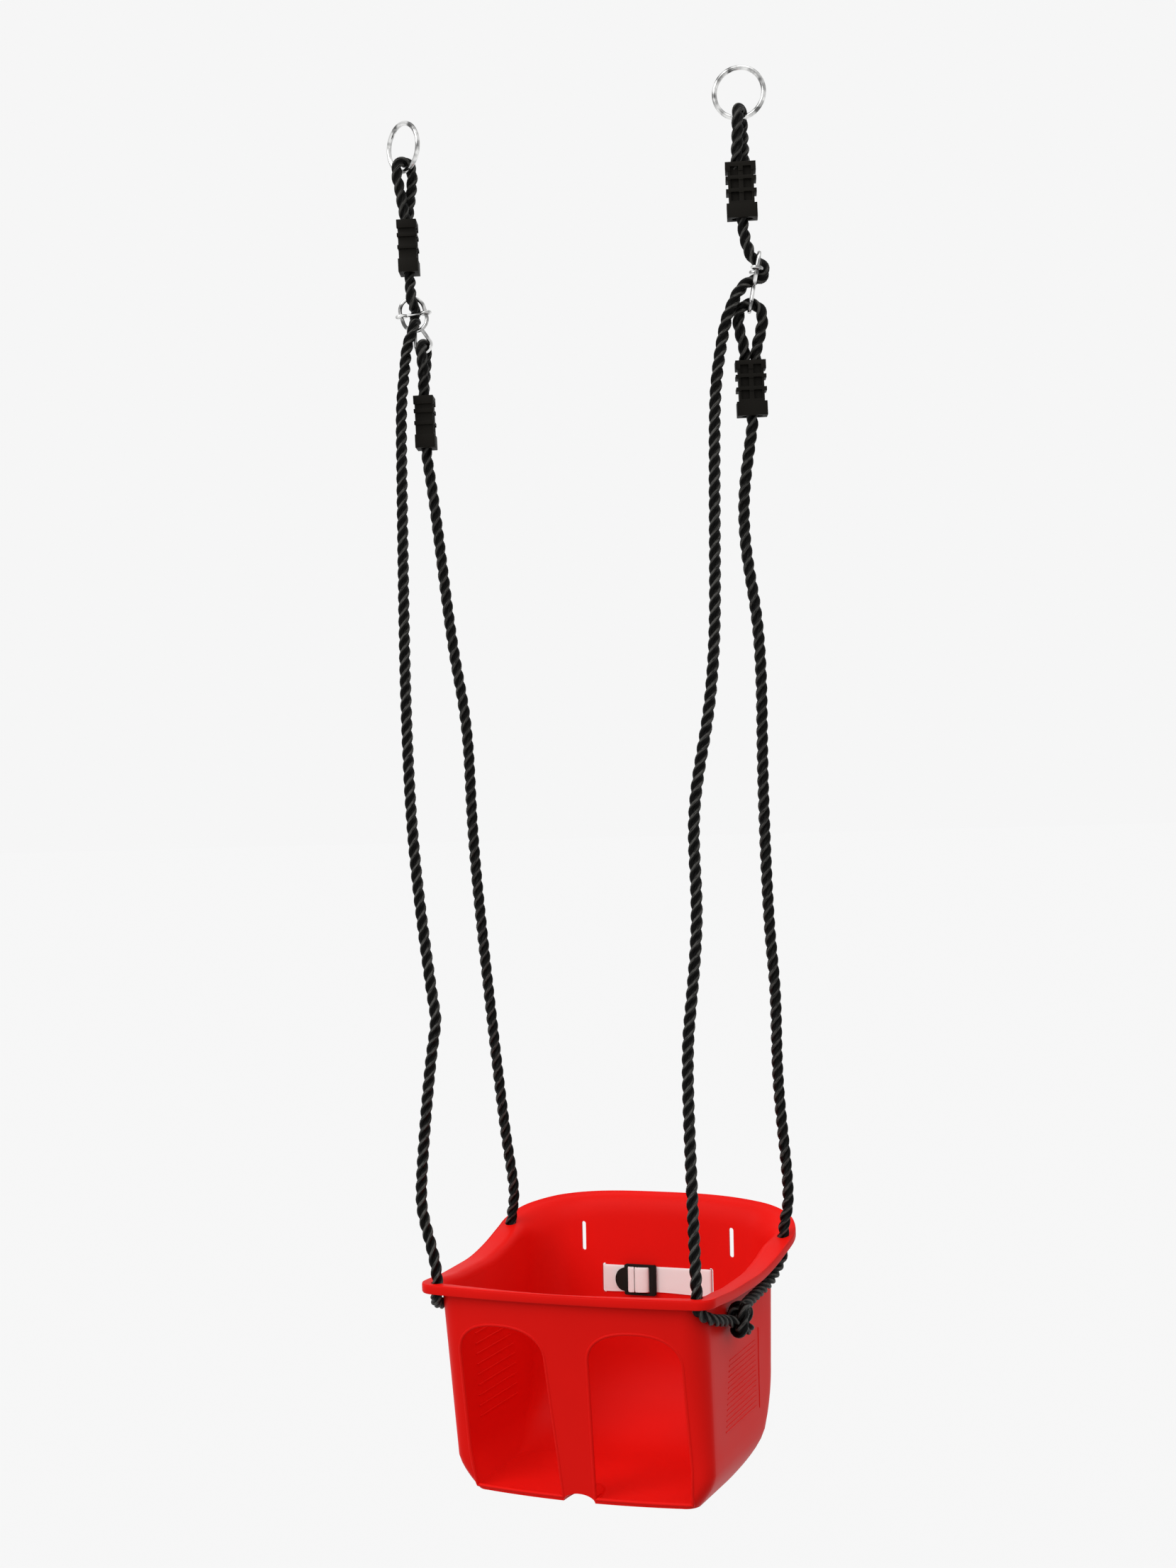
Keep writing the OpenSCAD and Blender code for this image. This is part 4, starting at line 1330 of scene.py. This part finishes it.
@dataclass
class LapBelt:
    """The webbing between the lower slots, and its slider buckle."""

    frame: dict[str, Any]
    palette: Palette
    seat: SeatShell
    width: float = 28.8
    thickness: float = 1.6
    gap: float = 0.4
    corner: float = 1.4
    drawn_in: float = 0.06
    lift: float = 0.8
    selvedge: Point = (0.12, 0.88, 0.07)
    edge_thin: float = 0.55
    rows: int = 13
    fold_width: float = 28.0
    buckle_at: Flat = (-18.0, -3.9)
    buckle_width: float = 36.0
    buckle_depth: float = 4.0
    tab: Flat = (10.5, 12.4)
    tab_root: float = 2.0
    proud: float = 0.1

    def on_back(self, points: Sequence[Sequence[float]]) -> np.ndarray:
        """Moves points from the belt's own frame to the model's, in metres."""
        seat = self.seat
        lean = math.radians(-seat.back_draft)
        turn = np.array(Matrix.Rotation(lean, 3, "X"))
        top = seat.back_top - seat.lower_slot_z * math.tan(-lean)
        place = (0.0, top - seat.wall / 2 - seat.forward, -seat.lower_slot_z - seat.drop)
        return (np.asarray(points) @ turn.T + np.array(place)) * MM

    def loop(self) -> np.ndarray:
        """The belt's middle line in plan, once round through both slots."""
        r = self.corner
        x = self.seat.lower_slots / 2 - r
        y = (self.seat.wall + self.thickness) / 2 + self.gap - r
        out: list[Flat] = []
        for quarter, (a, b) in enumerate(((x, y), (-x, y), (-x, -y), (x, -y))):
            out += arc(a, b, r, 90 * quarter, 90 * quarter + 90, 7)
        points = np.array(out)
        filled = []
        for p, q in zip(points, np.roll(points, -1, axis=0)):
            steps = max(1, int(np.linalg.norm(q - p) / 2.0))
            filled.extend(p + (q - p) * t for t in np.arange(steps) / steps)
        return np.array(filled)

    def band(self, name: str, line: np.ndarray, width: float, closed: bool) -> Piece:
        """Weaves a band of webbing along a line in plan.

        Args:
            name: The band's name.
            line: Its middle line, as X and Y in the belt's frame.
            width: The band's width.
            closed: Whether the band joins itself.

        Returns:
            The band, with a band attribute for its weave.
        """
        if closed:
            ahead, behind = np.roll(line, -1, axis=0), np.roll(line, 1, axis=0)
        else:
            ahead, behind = np.vstack([line[1:], line[-1:]]), np.vstack([line[:1], line[:-1]])
        run = ahead - behind
        run /= np.linalg.norm(run, axis=1)[:, None]
        normal = np.column_stack([run[:, 1], -run[:, 0]])
        step = np.linalg.norm(np.diff(line, axis=0), axis=1)
        along = np.concatenate([[0.0], np.cumsum(step)])
        rows = np.linspace(-1, 1, self.rows)
        n, m = len(line), len(rows)
        swollen, where, spread = self.selvedge
        points, marks = [], []
        for face in (1, -1):
            for i in range(n):
                for v in rows:
                    swell = 1.0 + swollen * math.exp(-(((abs(v) - where) / spread) ** 2))
                    soft = self.edge_thin if abs(v) == 1 else 1.0
                    p = line[i] + normal[i] * face * self.thickness / 2 * swell * soft
                    drawn = math.cos(math.pi * p[0] / self.seat.lower_slots) ** 2
                    z = v * width / 2 * (1 - self.drawn_in * drawn) + self.lift * drawn
                    points.append((*p, z))
                    marks.append((along[i] * MM, v, v * width / 2 * MM))
        pairs = [(i, (i + 1) % n) for i in range(n if closed else n - 1)]
        far = n * m
        faces: list[Sequence[int]] = []
        for base in (0, far):
            for i, j in pairs:
                for k in range(m - 1):
                    quad = (i * m + k, j * m + k, j * m + k + 1, i * m + k + 1)
                    faces.append([base + a for a in (quad[::-1] if base else quad)])
        for i, j in pairs:
            for a, b in ((i * m, j * m), (i * m + m - 1, j * m + m - 1)):
                faces.append((a, b, far + b, far + a))
        if not closed:
            for a in (*range(m - 1), *range(far - m, far - 1)):
                faces.append((a, a + 1, far + a + 1, far + a))
        piece = face_out(mesh_object(name, self.on_back(points), faces))
        layer = piece.data.attributes.new("band", "FLOAT_VECTOR", "POINT")
        layer.data.foreach_set("vector", np.array(marks, float).ravel())
        return smooth_by_angle(piece, 60.0)

    def half_round_tab(self) -> Piece:
        """The buckle's half-round pull, a plate that takes in the solid one's tab."""
        reach, rise = self.tab
        outline = [(reach * c, rise * s) for c, s in arc(0, 0, 1, 90, 270, 33)]
        outline += [(self.tab_root, -rise), (self.tab_root, rise)]
        x0, back = self.buckle_at[0] - self.buckle_width / 2, self.buckle_at[1] + self.proud
        ends = (back, back - self.buckle_depth - 2 * self.proud)
        levels = (self.on_back([(x0 + x, y, z) for x, z in outline]) for y in ends)
        return smooth_by_angle(solid_between("buckle_tab", *levels), 40.0)

    def build(self) -> None:
        """Builds the belt, the fold through the buckle and the buckle."""
        black, webbing = self.palette.black, self.palette.webbing
        belt = self.band("lap_belt", self.loop(), self.width, True)
        dress(belt, Body.SWING, webbing, ["belt"])
        for name, hump, nodes in (
            ("fold_over_left_window", LEFT_HUMP, ["belt_fold"]),
            ("fold_over_right_window", RIGHT_HUMP, []),
        ):
            line = spline([(*p, 0.0) for p in hump], 4)[:, :2] + self.buckle_at
            fold = self.band(name, line, self.fold_width, False)
            dress(fold, Body.BUCKLE, webbing, nodes)
        buckle = cad_copy(self.frame, "belt_buckle", "slider_buckle", bevel=0.6 * MM)
        dress(buckle, Body.BUCKLE, black, ["belt_buckle"])
        dress(self.half_round_tab(), Body.BUCKLE, black)


# ---- studio --------------------------------------------------------------------


def grey(level: float) -> tuple[float, float, float, float]:
    """A neutral colour, as a shader's socket takes it."""
    return (level, level, level, 1.0)


@dataclass
class Studio:
    """The pale floor, the soft light and the camera."""

    white: float = 0.922
    camera_at: Point = (0.936, -2.177, -0.633)
    azimuth: float = 23.46
    pitch: float = 1.2
    roll: float = -2.61
    focal: float = 3230.0
    image_height: int = 2212
    film: float = 36.0
    floor_z: float = -2.2
    floor_size: float = 30.0
    floor_glow: float = 0.8
    floor_shadow: float = 0.17
    floor_bounce: float = 0.3

    def camera(self) -> None:
        """Sets the camera."""
        data = bpy.data.cameras.new("camera")
        data.sensor_fit, data.sensor_height = "VERTICAL", self.film
        data.lens = self.film * self.focal / self.image_height
        data.clip_start, data.clip_end = 0.05, 60.0
        camera = new_object("camera", data)
        a, p, r = (math.radians(v) for v in (self.azimuth, self.pitch, self.roll))
        level, lean = math.cos(p), math.sin(p)
        look = Vector((-math.sin(a) * level, math.cos(a) * level, -lean))
        right = Vector((math.cos(a), math.sin(a), 0.0))
        up = right.cross(look)
        c, s = math.cos(r), math.sin(r)
        turn = Matrix((c * right + s * up, c * up - s * right, -look)).transposed()
        camera.matrix_world = Matrix.Translation(self.camera_at) @ turn.to_4x4()
        bpy.context.scene.camera = camera

    @staticmethod
    def by_ray(sheet: NodeSheet, kind: str, others: Any, seen: Any) -> Any:
        """Shows one shader to the camera and to a second kind of ray, one to the rest."""
        rays = sheet.add("ShaderNodeLightPath").outputs
        factor = sheet.math("MAXIMUM", rays["Is Camera Ray"], rays[kind])
        return sheet.out("ShaderNodeMixShader", {0: factor, 1: others, 2: seen})

    def world(self) -> None:
        """Sets a plain pale world that lights a little more from above."""
        world = bpy.data.worlds.new("studio_world")
        bpy.context.scene.world = world
        world.use_nodes = True
        world.node_tree.nodes.clear()
        sheet = NodeSheet(world.node_tree)
        seen = sheet.out("ShaderNodeBackground", {"Color": grey(self.white), "Strength": 1.0})
        place = sheet.add("ShaderNodeTexCoord").outputs["Generated"]
        height = sheet.add("ShaderNodeSeparateXYZ", {0: place}).outputs[2]
        level = sheet.remap(height, -0.3, 0.9, (0.6, 0.86))
        light = sheet.out("ShaderNodeBackground", {"Color": grey(1.0), "Strength": level})
        mix = self.by_ray(sheet, "Is Transmission Ray", light, seen)
        sheet.add("ShaderNodeOutputWorld", {0: mix})

    def floor(self) -> None:
        """Lays a pale floor that keeps a faint shadow."""
        n, z = self.floor_size, self.floor_z
        corners = [(-n, -n, z), (n, -n, z), (n, n, z), (-n, n, z)]
        floor = mesh_object("studio_floor", corners, [(0, 1, 2, 3)])
        material = bpy.data.materials.new("pale_floor")
        material.use_nodes = True
        material.node_tree.nodes.clear()
        sheet = NodeSheet(material.node_tree)
        glow = sheet.out(
            "ShaderNodeEmission", {"Color": grey(self.white), "Strength": self.floor_glow}
        )
        matt, plain = (
            sheet.out("ShaderNodeBsdfDiffuse", {"Color": grey(level)})
            for level in (self.floor_shadow, self.floor_bounce)
        )
        both = sheet.out("ShaderNodeAddShader", {0: glow, 1: matt})
        mix = self.by_ray(sheet, "Is Glossy Ray", plain, both)
        sheet.add("ShaderNodeOutputMaterial", {0: mix})
        floor.data.materials.append(material)

    def lamp(self, name: str, towards: Point, spread: float, power: float) -> None:
        """Adds a soft distant lamp.

        Args:
            name: The lamp's name.
            towards: The way that its light travels.
            spread: How wide the lamp looks, in degrees.
            power: Its strength.
        """
        data = bpy.data.lights.new(name, "SUN")
        data.angle, data.energy = math.radians(spread), power
        aim = Vector(towards).to_track_quat("-Z", "Y").to_matrix().to_4x4()
        new_object(name, data).matrix_world = Matrix.Translation((0.0, 0.0, 1.0)) @ aim

    def build(self) -> None:
        """Builds the whole studio."""
        bpy.context.scene.view_settings.view_transform = "Standard"
        self.camera()
        self.world()
        self.floor()
        self.lamp("key", (0.45, 0.85, -0.55), 40.0, 1.0)
        self.lamp("top", (-0.1, 0.25, -1.0), 60.0, 0.5)


def main() -> None:
    """Builds the swing and its studio."""
    logging.basicConfig(level=logging.INFO, format="%(name)s: %(message)s")
    discard(*bpy.data.objects)
    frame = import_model()
    Studio().build()
    palette = Palette.make()
    seat = SeatShell()
    LaidRope(Side.LEFT, LEFT_TOP, LEFT_BACK, seat).build(palette)
    LaidRope(Side.RIGHT, RIGHT_TOP, RIGHT_BACK, seat).build(palette)
    seat.build(palette)
    for panel in RIB_PANELS:
        for side in Side:
            panel.build(seat, side, palette)
    Hardware(frame, palette).build()
    LapBelt(frame, palette, seat).build()


if __name__ == "__main__":
    main()
